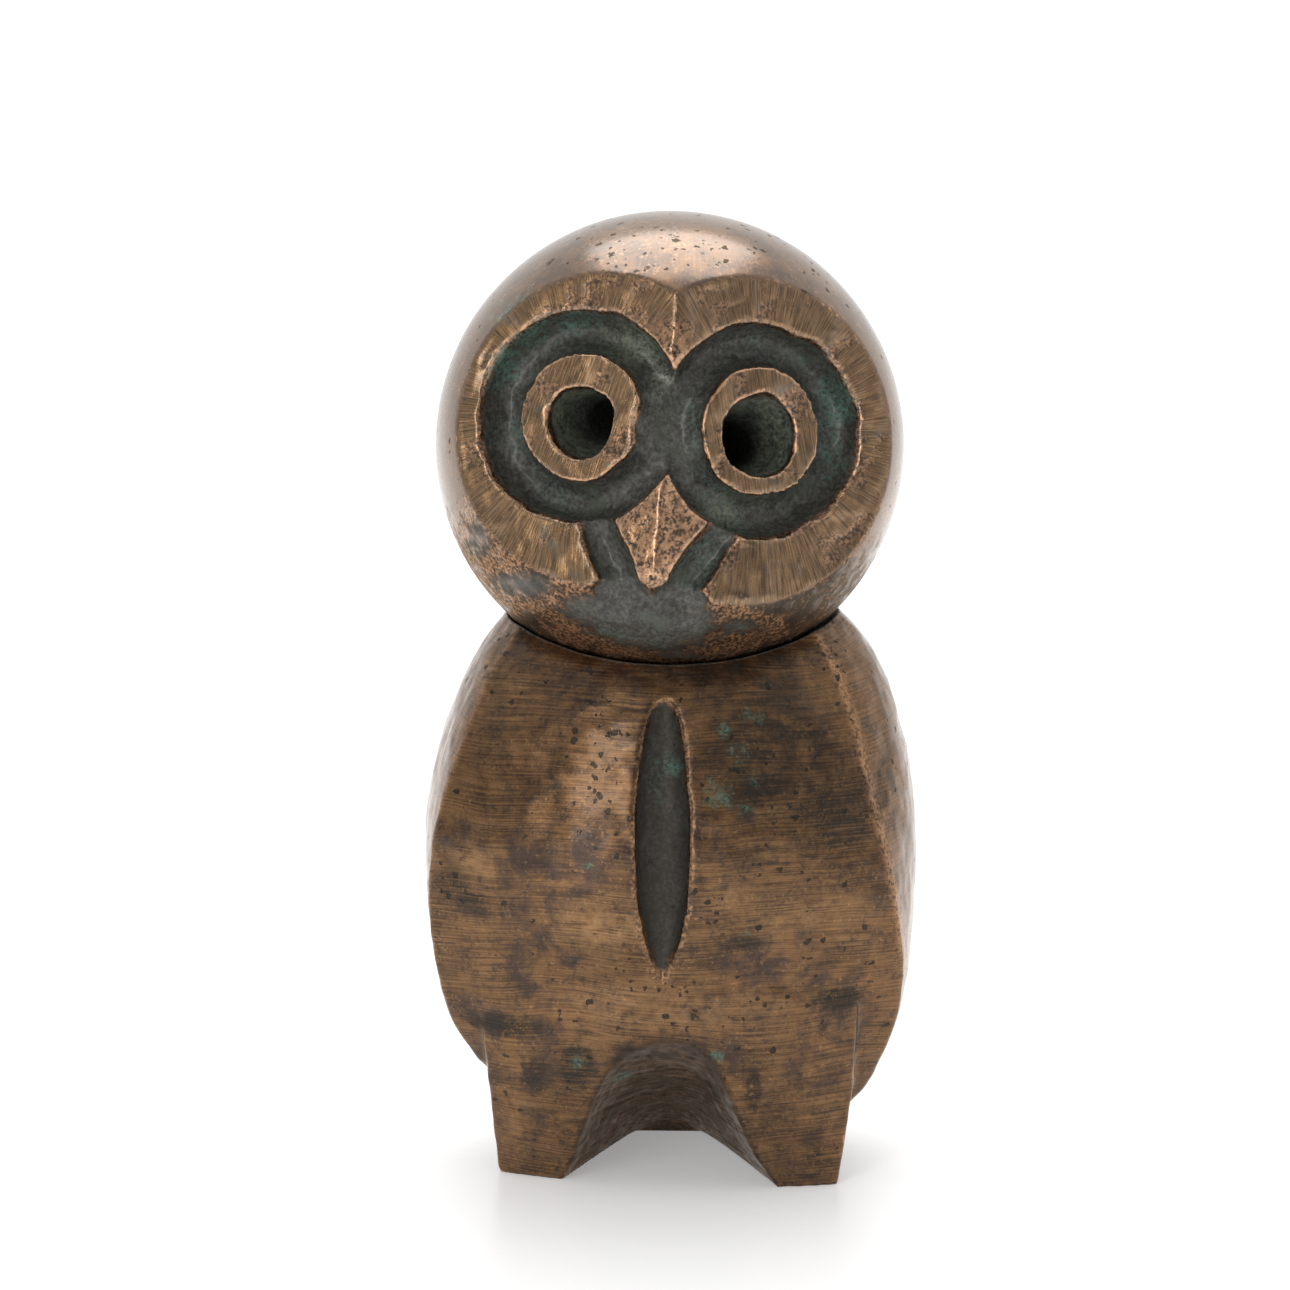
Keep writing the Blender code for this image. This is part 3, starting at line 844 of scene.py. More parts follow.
# %% Hand-made wander on the body
points = points_of(body)
inward = np.array([(NECK.x, NECK.y, 0)]) - points * np.array([1, 1, 0])
inward /= np.maximum(np.linalg.norm(inward, axis=1), 1e-6)[:, None]
lift = ramp(points[:, 2], 1 * MM, 5 * MM)[:, None]
hollows = 0.12 * MM * (field(points, 14 * MM, 41) + 1) / 2
ripple = 0.06 * MM * (field(points * np.array([1, 1, 3.0]), 6 * MM, 43) + 1) / 2
points = points + inward * (hollows + ripple)[:, None]
points = points + (wander(points, 4 * MM, 0.15 * MM, 47) - points) * lift
points = np.clip(points, np.array(CAD_LOW), np.array(CAD_HIGH))
set_points(body, points)
print("deepest hollow:", round(float((hollows + ripple).max() / MM), 2), "mm")

# %% [markdown]
# The cup was ground in with the ball itself, so its lip hugs the ball, a little closer on the
# left than on the right, where the dark gap shows. A recess under the lip leaves the leather
# washer room to follow the nod. The pocket below it holds the neck's spring and washers.

# %% Cup and pocket
LIP_GAP = 0.36 * MM
LIP_SHIFT = 0.2 * MM
SEAT_GAP = 1.1 * MM
SEAT_REACH = 16.1 * MM
POCKET_RADIUS = 15.0 * MM
POCKET_FLOOR = NECK.z - 53.0 * MM
CUP_RADIUS = BALL_RADIUS + LIP_GAP
CUP_CENTRE = NECK + Vector((LIP_SHIFT, 0, 0))
BALL_FACES = {"segments": 160, "ring_count": 80}
deselect()
bpy.ops.mesh.primitive_uv_sphere_add(**BALL_FACES, radius=CUP_RADIUS, location=CUP_CENTRE)
carve(body, named("cup_tool"))
deselect()
bpy.ops.mesh.primitive_uv_sphere_add(**BALL_FACES, radius=BALL_RADIUS + SEAT_GAP, location=NECK)
seat_tool = named("seat_tool")
deselect()
bpy.ops.mesh.primitive_cylinder_add(
    vertices=96, radius=SEAT_REACH, depth=BALL_RADIUS * 2, location=(NECK.x, NECK.y, NECK.z - BALL_RADIUS)
)
carve(seat_tool, named("seat_column"), "INTERSECT")
carve(body, seat_tool)
deselect()
pocket_height = NECK.z - POCKET_FLOOR
pocket_middle = POCKET_FLOOR + pocket_height / 2
bpy.ops.mesh.primitive_cylinder_add(
    vertices=96, radius=POCKET_RADIUS, depth=pocket_height, location=(NECK.x, NECK.y, pocket_middle)
)
carve(body, named("pocket_tool"))
print("body:", len(body.data.polygons), "faces")

# %% [markdown]
# Soot, verdigris and pits gathered where hands and cloths don't reach. The broad soft dark
# patches along the top round the cup and down the right side of the chest are painted shade.
# Each patch is x from the midline, height, half width and half height in mm, and a strength.

# %% Patches of patina on the body
# Dark stains and pits, and painted shade: the wide soft patches at the top and on the right of the chest.
BODY_SOOT_AND_SHADE = (
    (0.0, 70.0, 26.0, 4.0, 0.75),
    (-12.5, 63.5, 8.0, 3.5, 0.6),
    (11.0, 56.0, 9.0, 8.0, 0.85),
    (20.5, 48.0, 8.0, 7.0, 0.8),
    (21.5, 24.8, 3.5, 1.5, 1.4),
    (-26.0, 38.5, 3.0, 3.5, 0.8),
    (-14.0, 52.0, 5.0, 4.0, 0.35),
    (-10.9, 16.2, 2.3, 2.8, 1.5),
    (-16.0, 14.5, 2.6, 3.2, 0.7),
    (10.9, 14.0, 1.2, 3.2, 1.4),
    (18.6, 5.0, 2.4, 4.5, 0.7),
    (14.0, 11.0, 5.0, 6.0, 0.45),
    (-20.0, 20.8, 5.0, 1.4, 1.3),
    (-24.0, 37.0, 3.0, 1.6, 1.2),
    (9.0, 33.0, 3.5, 1.4, 0.9),
    (-21.0, 60.0, 2.5, 8.0, 0.6),
    (4.0, 67.0, 16.0, 3.5, 0.8),
    (14.0, 62.0, 6.0, 4.0, 0.7),
    (-20.0, 49.0, 4.0, 4.0, 0.45),
    (12.0, 44.0, 5.0, 3.0, 0.5),
    (-17.0, 31.0, 7.0, 3.5, 0.4),
)
BODY_LIGHT = (
    (-24.0, 41.5, 3.0, 3.2, 0.9),
    (-7.5, 35.0, 5.0, 2.6, 0.8),
    (16.5, 62.0, 4.5, 1.8, 0.6),
    (-20.0, 62.0, 4.0, 4.0, 0.5),
    (2.0, 24.0, 12.0, 3.0, 0.5),
    (-19.0, 6.0, 3.0, 4.0, 0.5),
    (18.0, 36.0, 7.0, 2.0, 0.5),
    (7.0, 39.0, 3.0, 2.0, 0.5),
)
BODY_GREEN = (
    (7.2, 59.0, 1.1, 1.1, 1.0),
    (10.6, 60.2, 2.0, 1.2, 0.8),
    (9.0, 56.5, 1.4, 1.6, 0.7),
    (6.2, 51.5, 1.8, 2.0, 0.9),
    (9.5, 49.8, 1.6, 1.2, 0.8),
    (11.0, 54.0, 1.0, 1.6, 0.7),
    (-9.5, 42.9, 0.7, 0.6, 1.0),
    (9.9, 34.5, 1.0, 0.8, 0.9),
    (12.0, 38.0, 0.8, 2.5, 0.6),
    (6.4, 18.2, 0.9, 0.8, 1.0),
    (-10.9, 16.8, 1.4, 1.2, 0.8),
    (-5.6, 13.8, 2.0, 1.0, 1.1),
    (0.6, 54.5, 1.8, 1.5, 0.8),
)
BODY_PITS = (
    (-7.8, 57.0, 4.0, 4.5, 1.0),
    (-8.0, 49.0, 5.0, 5.0, 0.5),
    (6.0, 38.5, 4.0, 2.5, 0.8),
    (-2.0, 26.5, 6.0, 2.0, 0.9),
    (6.0, 21.0, 6.0, 3.0, 0.8),
    (-26.0, 37.5, 3.0, 3.5, 1.0),
    (21.5, 27.0, 4.5, 2.0, 1.0),
    (15.0, 52.0, 7.0, 7.0, 0.6),
    (20.0, 66.0, 2.0, 4.0, 0.8),
    (-18.0, 67.0, 4.0, 3.0, 0.7),
)
print("patches:", len(BODY_SOOT_AND_SHADE + BODY_LIGHT + BODY_GREEN + BODY_PITS))

# %% [markdown]
# The depth under the chest, the inside of the cup and the arch are measured on the finished
# mesh, like the crests, and the cloth's strokes run level round the body. The inside of the arch is
# darkened with painted shade.

# %% Marks on the body
points = points_of(body)
normals = normals_of(body)
local = points - np.array(NECK)
heights = points[:, 2] / MM
levels = np.linspace(0, 73, 147)
chest_front = np.interp(heights, levels, [along(FRONT_DEPTH, level) for level in levels])
leaf_share = np.clip(1 - ((heights - LEAF_MIDDLE) / LEAF_HALF_LENGTH) ** 2, 0, 1)
leaf_width = LEAF_HALF_WIDTH * leaf_share**0.5
chest_depth = local[:, 1] / MM + chest_front
in_leaf = np.abs(local[:, 0] / MM - LEAF_SHIFT) < leaf_width + 0.5
in_leaf &= (local[:, 1] < 0) & (leaf_share > 0)
depth = np.where(in_leaf, chest_depth, 0)
from_cup = np.linalg.norm(points - np.array(CUP_CENTRE), axis=1)
in_cup = ramp(CUP_RADIUS + 0.12 * MM - from_cup, 0, 0.1 * MM)
depth = np.maximum(depth, in_cup * 3)
# Painted shade inside the arch between the feet: its inner walls and roof are darkened, more towards the
# back.
facing_in = -np.sign(local[:, 0]) * normals[:, 0] - normals[:, 2]
in_arch = (np.abs(local[:, 0]) < 15 * MM) & (local[:, 1] < 7.5 * MM)
in_arch &= (heights < 21) & (facing_in > 0.35)
arch_shade = in_arch * (0.35 + 0.55 * ramp(local[:, 1], -24 * MM, -10 * MM))
front = normals[:, 1] < 0.1
stand, sink = crest_and_cavity(body)
print("stand-out in microns:", np.percentile(stand, [90, 95, 98, 99]) / MM * 1000)
crest = ramp(stand, 0.045 * MM, 0.11 * MM)
cavity = ramp(sink, 0.10 * MM, 0.6 * MM)
# The soot mark on the body: real soot and stains, painted shade in the arch and on the top and right of
# the chest, and charcoal in the hollows.
soot_and_shade = np.maximum(patches(local[:, 0], points[:, 2], BODY_SOOT_AND_SHADE) * front, arch_shade)
soot_and_shade = np.maximum(soot_and_shade, cavity * 0.9)
soot_and_shade = np.where(in_leaf & (chest_depth > 0.8), 0.9, soot_and_shade)


def ridge_reach(widths, side):
    """How far out one side ridge stands, in mm, at the height of every point."""
    reaches = [along(RIDGE_SHARE, z) * along(widths, z) * ridge_pull(z, side) for z in levels]
    return np.interp(heights, levels, reaches)


from_left = np.abs(local[:, 0] / MM + ridge_reach(LEFT_WIDTH, -1)) + 0.5
from_right = np.abs(local[:, 0] / MM - ridge_reach(RIGHT_WIDTH, 1))
ridge = np.exp(-((np.minimum(from_left, from_right) / 0.6) ** 2))
ridge *= front * (local[:, 1] < -8 * MM) * ramp(heights, 24, 34) * 0.5
store(body, "depth", depth)
store(body, "filed", np.zeros(len(points)))
store(body, "crest", crest)
store(body, "cavity", np.zeros(len(points)))
store(body, "rubbed", ridge)
store(body, "soot_and_shade", soot_and_shade)
store(body, "light", patches(local[:, 0], points[:, 2], BODY_LIGHT) * front)
store(body, "green", patches(local[:, 0], points[:, 2], BODY_GREEN) * front * 0.75)
store(body, "pale", np.zeros(len(points)))
store(body, "pitted", patches(local[:, 0], points[:, 2], BODY_PITS) * front)
BRUSH = 0.22 * MM
BRUSH_STROKE = 9.0 * MM
MEAN_RADIUS = 28 * MM
slant = field(points, 18 * MM, 61) * 1.2 * MM
store(body, "grain_u", (points[:, 2] + slant) / BRUSH)
store(body, "grain_v", np.arctan2(local[:, 0], -local[:, 1]) * MEAN_RADIUS / BRUSH_STROKE)
print("body marks:", [round(float(values.mean()), 3) for values in (soot_and_shade, crest, cavity)])

# %% [markdown]
# ## Aged bronze
# One group of nodes makes the surface of both castings. It mixes four states of the metal:
# brown bronze, dark patina, bright copper on the crests and charcoal with verdigris in the
# hollows. The dark of the soot mark is also used as painted shade, and a pale green as painted light in
# the eye bores.

# %% Node helpers
def add_node(tree, kind, **settings):
    node = tree.nodes.new(kind)
    for key, value in settings.items():
        if key in node.inputs:
            node.inputs[key].default_value = value
        else:
            setattr(node, key, value)
    return node


def link(tree, source, target):
    tree.links.new(source, target)


def math_node(tree, operation, first, second=None, clamp=False):
    node = tree.nodes.new("ShaderNodeMath")
    node.operation = operation
    node.use_clamp = clamp
    for socket, value in zip(node.inputs, (first, second)):
        if value is None:
            continue
        if isinstance(value, (int, float)):
            socket.default_value = value
        else:
            link(tree, value, socket)
    return node.outputs[0]


def remap(tree, value, low, high, to_low=0.0, to_high=1.0):
    node = tree.nodes.new("ShaderNodeMapRange")
    node.clamp = True
    link(tree, value, node.inputs["Value"])
    node.inputs["From Min"].default_value = low
    node.inputs["From Max"].default_value = high
    node.inputs["To Min"].default_value = to_low
    node.inputs["To Max"].default_value = to_high
    return node.outputs["Result"]


def blend_colour(tree, share, first, second, kind="MIX"):
    node = tree.nodes.new("ShaderNodeMix")
    node.data_type = "RGBA"
    node.blend_type = kind
    sockets = (node.inputs[0], node.inputs[6], node.inputs[7])
    for socket, value in zip(sockets, (share, first, second)):
        if isinstance(value, (int, float)):
            socket.default_value = value
        elif isinstance(value, tuple):
            socket.default_value = (*value, 1.0)
        else:
            link(tree, value, socket)
    return node.outputs[2]


def blend_value(tree, share, first, second):
    node = tree.nodes.new("ShaderNodeMix")
    node.data_type = "FLOAT"
    sockets = (node.inputs[0], node.inputs[2], node.inputs[3])
    for socket, value in zip(sockets, (share, first, second)):
        if isinstance(value, (int, float)):
            socket.default_value = value
        else:
            link(tree, value, socket)
    return node.outputs[0]


def noise_node(tree, vector, scale, detail=4.0, roughness=0.55, distortion=0.0):
    node = add_node(tree, "ShaderNodeTexNoise", Scale=scale, Detail=detail)
    node.inputs["Roughness"].default_value = roughness
    node.inputs["Distortion"].default_value = distortion
    link(tree, vector, node.inputs["Vector"])
    return node.outputs["Fac"]


def scaled(tree, vector, x, y, z):
    node = tree.nodes.new("ShaderNodeVectorMath")
    node.operation = "MULTIPLY"
    link(tree, vector, node.inputs[0])
    node.inputs[1].default_value = (x, y, z)
    return node.outputs[0]


# %% [markdown]
# The colours are those of cast bronze at its stages: bare, browned, sooted and green. The soot
# colour also paints shade. The group lays them over each other in the order they came to the real metal,
# ending with the wear.

# %% The aged bronze group
BROWN = (0.086, 0.046, 0.024)
TAN = (0.165, 0.085, 0.038)
UMBER = (0.050, 0.035, 0.026)
PLUM = (0.080, 0.050, 0.037)
COPPER = (0.62, 0.345, 0.185)
OLIVE = (0.118, 0.072, 0.034)
STRAW = (0.360, 0.205, 0.094)
CHARCOAL = (0.048, 0.047, 0.042)
SLATE = (0.118, 0.121, 0.108)
VERDIGRIS = (0.070, 0.160, 0.122)
# The pale green is also painted light on the walls of the eye bores, and the dark soot colour is also
# painted shade.
LICHEN_AND_LIT_WALL = (0.165, 0.200, 0.135)
SOOT_AND_SHADE = (0.036, 0.032, 0.027)

MARKS = ("Depth", "Filed", "Crest", "Cavity", "Rubbed", "Soot_and_shade", "Light", "Green", "Pale", "Pitted")


def make_aged_bronze():
    group = bpy.data.node_groups.new("aged bronze", "ShaderNodeTree")
    face = group.interface
    face.new_socket("Position", in_out="INPUT", socket_type="NodeSocketVector")
    for name in ("Grain", *MARKS, "Patches", "Brushing", "Stray", "Gloss"):
        face.new_socket(name, in_out="INPUT", socket_type="NodeSocketFloat")
    face.new_socket("Color", in_out="OUTPUT", socket_type="NodeSocketColor")
    for name in ("Roughness", "Metallic", "Coat", "Height"):
        face.new_socket(name, in_out="OUTPUT", socket_type="NodeSocketFloat")
    given = group.nodes.new("NodeGroupInput").outputs
    out = group.nodes.new("NodeGroupOutput").inputs
    position = given["Position"]

    def times(first, second, clamp=True):
        return math_node(group, "MULTIPLY", first, second, clamp)

    def plus(first, second, clamp=False):
        return math_node(group, "ADD", first, second, clamp)

    def without(value, mask):
        return times(value, math_node(group, "SUBTRACT", 1.0, mask))

    broad = noise_node(group, position, 85, 3.0, 0.55, 0.5)
    clouds = noise_node(group, position, 240, 4.0, 0.6, 0.6)
    mottle = noise_node(group, position, 620, 4.0, 0.62, 0.3)
    flake = noise_node(group, position, 1300, 4.0, 0.7)
    speck = noise_node(group, position, 2300, 3.0, 0.62)
    grit = noise_node(group, position, 5600, 2.0, 0.5)
    grain = given["Grain"]

    colour = blend_colour(group, remap(group, clouds, 0.38, 0.64), BROWN, TAN)
    dark = times(remap(group, broad, 0.46, 0.60), remap(group, clouds, 0.60, 0.40))
    dark = times(dark, given["Patches"])
    colour = blend_colour(group, dark, colour, PLUM)
    grain_share = times(remap(group, grain, 0.42, 0.66), given["Brushing"])
    colour = blend_colour(group, times(without(0.45, dark), grain_share), colour, STRAW)
    grain_dark = times(remap(group, grain, 0.47, 0.30), given["Brushing"])
    colour = blend_colour(group, times(grain_dark, 0.55), colour, UMBER)
    smears = remap(group, plus(times(grain, 0.5), times(clouds, 0.5)), 0.46, 0.38)
    smears = times(smears, remap(group, broad, 0.40, 0.56))
    colour = blend_colour(group, times(times(smears, 0.7), given["Patches"]), colour, UMBER)

    grime = times(remap(group, flake, 0.50, 0.38), remap(group, clouds, 0.62, 0.42, 0.25, 1.0))
    colour = blend_colour(group, times(times(grime, 0.75), given["Patches"]), colour, UMBER)
    glints = times(remap(group, speck, 0.55, 0.66), remap(group, mottle, 0.45, 0.62))
    colour = blend_colour(group, times(times(glints, 0.55), given["Patches"]), colour, STRAW)

    light = times(given["Light"], remap(group, plus(mottle, times(grain, 0.5)), 0.60, 0.82))
    colour = blend_colour(group, times(light, 0.8), colour, STRAW)

    filed_colour = blend_colour(group, remap(group, grain, 0.40, 0.62), OLIVE, STRAW)
    dull = times(remap(group, clouds, 0.55, 0.68), 0.55)
    filed_colour = blend_colour(group, dull, filed_colour, SLATE)
    colour = blend_colour(group, given["Filed"], colour, filed_colour)

    bright = remap(group, plus(times(flake, 0.5), times(speck, 0.5)), 0.43, 0.52)
    rubbed_colour = blend_colour(group, bright, UMBER, COPPER)
    tanned = remap(group, mottle, 0.46, 0.64, 0.0, 0.6)
    rubbed_colour = blend_colour(group, tanned, rubbed_colour, TAN)
    colour = blend_colour(group, given["Rubbed"], colour, rubbed_colour)

    # The soot mark darkens the metal: real soot on the body, and painted shade on the chin, in the arch
    # and on the top and right of the chest.
    soot_and_shade_cover = plus(given["Soot_and_shade"], remap(group, mottle, 0.30, 0.70, -0.35, 0.35))
    soot_and_shade_cover = times(remap(group, soot_and_shade_cover, 0.25, 0.85), remap(group, given["Soot_and_shade"], 0.02, 0.25))
    soot_and_shade_cover = without(soot_and_shade_cover, times(grain_share, 0.45))
    soot_and_shade_colour = blend_colour(group, times(given["Stray"], 1.6), SOOT_AND_SHADE, CHARCOAL)
    colour = blend_colour(group, times(soot_and_shade_cover, 0.88), colour, soot_and_shade_colour)
    flecks = times(remap(group, speck, 0.56, 0.64), times(given["Soot_and_shade"], given["Stray"]))
    flecks = times(times(flecks, remap(group, clouds, 0.44, 0.58)), 1.6)
    colour = blend_colour(group, flecks, colour, STRAW)

    cells = add_node(group, "ShaderNodeTexVoronoi", Scale=1150.0, Randomness=1.0)
    warp = group.nodes.new("ShaderNodeVectorMath")
    warp.operation = "MULTIPLY_ADD"
    drift = add_node(group, "ShaderNodeTexNoise", Scale=1400.0, Detail=2.0)
    link(group, position, drift.inputs["Vector"])
    link(group, drift.outputs["Color"], warp.inputs[0])
    warp.inputs[1].default_value = (0.0013, 0.0013, 0.0009)
    link(group, position, warp.inputs[2])
    link(group, warp.outputs[0], cells.inputs["Vector"])
    pick = group.nodes.new("ShaderNodeSeparateColor")
    link(group, cells.outputs["Color"], pick.inputs[0])
    likely = plus(times(given["Pitted"], 0.42), times(remap(group, clouds, 0.55, 0.68), 0.10))
    chosen = remap(group, plus(pick.outputs[0], likely), 0.96, 0.99)
    reach = remap(group, pick.outputs[1], 0.0, 1.0, 0.14, 0.58)
    inside = math_node(group, "SUBTRACT", reach, cells.outputs["Distance"])
    pits = times(remap(group, inside, 0.0, 0.10), chosen)
    pits = without(pits, given["Filed"])
    pit_colour = blend_colour(group, remap(group, broad, 0.45, 0.6), SOOT_AND_SHADE, CHARCOAL)
    colour = blend_colour(group, times(pits, 0.9), colour, pit_colour)

    ragged = plus(given["Depth"], remap(group, mottle, 0.28, 0.72, -0.30, 0.30))
    bevel = times(remap(group, ragged, 0.10, 0.26), remap(group, ragged, 0.90, 0.60))
    sunk = remap(group, given["Depth"], 0.0, 0.12)
    bevel = times(bevel, math_node(group, "MAXIMUM", sunk, times(given["Soot_and_shade"], given["Stray"])))
    bevel = times(bevel, remap(group, given["Stray"], 0.2, 0.5, 0.45, 1.0))
    bevel_colour = blend_colour(group, remap(group, speck, 0.43, 0.58), UMBER, COPPER)
    bevel_colour = blend_colour(group, 0.35, bevel_colour, BROWN)
    colour = blend_colour(group, without(times(bevel, 0.85), given["Rubbed"]), colour, bevel_colour)
    hollow = remap(group, ragged, 0.65, 1.15)
    nook = plus(given["Cavity"], remap(group, mottle, 0.3, 0.7, -0.2, 0.2))
    hollow = math_node(group, "MAXIMUM", hollow, remap(group, nook, 0.55, 0.95))
    dusty = remap(group, plus(times(flake, 0.6), times(speck, 0.4)), 0.44, 0.60)
    hollow_colour = blend_colour(group, dusty, CHARCOAL, SLATE)
    hollow_colour = blend_colour(group, times(remap(group, clouds, 0.56, 0.66), 0.5), hollow_colour, PLUM)
    hollow_colour = blend_colour(group, times(given["Soot_and_shade"], 0.8), hollow_colour, SOOT_AND_SHADE)
    colour = blend_colour(group, hollow, colour, hollow_colour)

    green = plus(given["Green"], remap(group, mottle, 0.30, 0.70, -0.45, 0.30))
    green = times(remap(group, green, 0.20, 0.75), remap(group, speck, 0.36, 0.58))
    green = times(green, remap(group, given["Green"], 0.02, 0.2))
    moss = times(remap(group, clouds, 0.56, 0.68), remap(group, given["Stray"], 0.3, 0.5))
    stray = times(hollow, remap(group, broad, 0.54, 0.64))
    stray = times(stray, times(remap(group, speck, 0.46, 0.62), given["Stray"]))
    stray = math_node(group, "MAXIMUM", stray, times(times(moss, hollow), 0.28))
    green = without(math_node(group, "MAXIMUM", times(green, 0.85), stray), given["Filed"])
    colour = blend_colour(group, green, colour, VERDIGRIS)
    # The pale mark: pale patches, and painted light on the walls of the eye bores.
    pale_and_lit_speckle = remap(group, plus(times(speck, 0.5), times(mottle, 0.5)), 0.42, 0.60)
    pale = times(times(remap(group, given["Pale"], 0.10, 0.70), pale_and_lit_speckle), hollow)
    colour = blend_colour(group, times(pale, 0.75), colour, LICHEN_AND_LIT_WALL)

    worn = plus(given["Crest"], remap(group, clouds, 0.35, 0.65, -0.45, 0.10))
    worn = plus(worn, remap(group, speck, 0.3, 0.7, -0.20, 0.20))
    worn = times(remap(group, worn, 0.22, 0.60), remap(group, given["Depth"], 1.2, 0.5))
    colour = blend_colour(group, times(worn, 0.8), colour, COPPER)

    rough = blend_value(group, hollow, given["Gloss"], 0.58)
    rough = blend_value(group, soot_and_shade_cover, rough, 0.5)
    rough = blend_value(group, times(given["Rubbed"], 0.7), rough, 0.22)
    rough = blend_value(group, worn, rough, 0.30)
    rough = plus(rough, remap(group, clouds, 0.3, 0.7, -0.05, 0.07))
    metal = blend_value(group, hollow, 0.92, 0.5)
    metal = without(metal, math_node(group, "MAXIMUM", green, pale))

    coat = without(without(without(1.0, times(hollow, 0.7)), soot_and_shade_cover), pits)
    cut = math_node(group, "MAXIMUM", times(given["Filed"], 0.55), times(given["Brushing"], 0.25))
    height = times(grain, cut, clamp=False)
    height = plus(height, times(mottle, 0.45, clamp=False))
    height = plus(height, times(grit, 0.16, clamp=False))
    height = plus(height, times(times(speck, 0.5), math_node(group, "MAXIMUM", given["Rubbed"], hollow)))
    height = math_node(group, "SUBTRACT", height, times(pits, 1.6, clamp=False))

    link(group, colour, out["Color"])
    link(group, rough, out["Roughness"])
    link(group, metal, out["Metallic"])
    link(group, coat, out["Coat"])
    link(group, height, out["Height"])
    return group


AGED_BRONZE = make_aged_bronze()
print("aged bronze:", len(AGED_BRONZE.nodes), "nodes")


# %% [markdown]
# The scratches of file and cloth follow the coordinates stored on the mesh, so one recipe serves
# the level strokes on the chest and the rays round the eyes.

# %% Bronze on the two castings
def attribute(tree, name):
    return add_node(tree, "ShaderNodeAttribute", attribute_name=name).outputs["Fac"]


def scratches(tree):
    joined = tree.nodes.new("ShaderNodeCombineXYZ")
    link(tree, attribute(tree, "grain_u"), joined.inputs["X"])
    link(tree, attribute(tree, "grain_v"), joined.inputs["Y"])
    return noise_node(tree, joined.outputs[0], 1.0, 3.0, 0.62)


def bronze_material(name, patches_share, brushing, stray, gloss, edge_tint, coat_ior, relief):
    material = bpy.data.materials.new(name)
    material.use_nodes = True
    tree = material.node_tree
    shader = tree.nodes["Principled BSDF"]
    metal = tree.nodes.new("ShaderNodeGroup")
    metal.node_tree = AGED_BRONZE
    link(tree, tree.nodes.new("ShaderNodeTexCoord").outputs["Object"], metal.inputs["Position"])
    link(tree, scratches(tree), metal.inputs["Grain"])
    for mark in MARKS:
        link(tree, attribute(tree, mark.lower()), metal.inputs[mark])
    metal.inputs["Patches"].default_value = patches_share
    metal.inputs["Brushing"].default_value = brushing
    metal.inputs["Stray"].default_value = stray
    metal.inputs["Gloss"].default_value = gloss
    link(tree, metal.outputs["Color"], shader.inputs["Base Color"])
    link(tree, metal.outputs["Roughness"], shader.inputs["Roughness"])
    link(tree, metal.outputs["Metallic"], shader.inputs["Metallic"])
    link(tree, metal.outputs["Coat"], shader.inputs["Coat Weight"])
    shader.inputs["Specular Tint"].default_value = (*edge_tint, 1.0)
    shader.inputs["Coat IOR"].default_value = coat_ior
    shader.inputs["Coat Roughness"].default_value = 0.2
    bump = add_node(tree, "ShaderNodeBump", Strength=1.0, Distance=relief)
    link(tree, metal.outputs["Height"], bump.inputs["Height"])
    link(tree, bump.outputs["Normal"], shader.inputs["Normal"])
    return material


body_bronze = bronze_material(
    "body bronze", patches_share=1.0, brushing=1.0, stray=0.25, gloss=0.31,
    edge_tint=(0.72, 0.60, 0.50), coat_ior=1.22, relief=0.09 * MM,
)
head_bronze = bronze_material(
    "head bronze", patches_share=0.75, brushing=0.35, stray=0.5, gloss=0.27,
    edge_tint=(0.85, 0.74, 0.63), coat_ior=1.54, relief=0.09 * MM,
)
for piece, material in ((body, body_bronze), (head, head_bronze)):
    piece.data.materials.clear()
    piece.data.materials.append(material)
    choose(piece)
    bpy.ops.object.shade_smooth_by_angle(angle=math.radians(60))
print("materials:", body_bronze.name, "and", head_bronze.name)

# %% [markdown]
# ## Hand the pieces to the frame
# The fine castings stand for their plain solids and ride on the same bodies.

# %% Ride and replace
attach(body, "trunk")
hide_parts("body")
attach(head, "ball_head")
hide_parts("head")
print("handed over:", body.name, "and", head.name)


# %% [markdown]
# ## The parts inside the neck
# The steel parts are turned and lightly oiled, and the seat washer is greased leather.

# %% Steel and leather
def turned_steel():
    material = bpy.data.materials.new("turned steel")
    material.use_nodes = True
    tree = material.node_tree
    shader = tree.nodes["Principled BSDF"]
    place = tree.nodes.new("ShaderNodeTexCoord").outputs["Object"]
    rings = noise_node(tree, scaled(tree, place, 120, 120, 5200), 1.0, 3.0, 0.6)
    stains = noise_node(tree, place, 380, 4.0, 0.6)
    colour = blend_colour(tree, remap(tree, rings, 0.35, 0.7), (0.36, 0.36, 0.35), (0.56, 0.56, 0.54))
    colour = blend_colour(tree, remap(tree, stains, 0.58, 0.75), colour, (0.16, 0.12, 0.09))
    link(tree, colour, shader.inputs["Base Color"])
    link(tree, remap(tree, stains, 0.35, 0.7, 0.28, 0.5), shader.inputs["Roughness"])
    shader.inputs["Metallic"].default_value = 1.0
    bump = add_node(tree, "ShaderNodeBump", Strength=0.6, Distance=0.03 * MM)
    link(tree, rings, bump.inputs["Height"])
    link(tree, bump.outputs["Normal"], shader.inputs["Normal"])
    return material


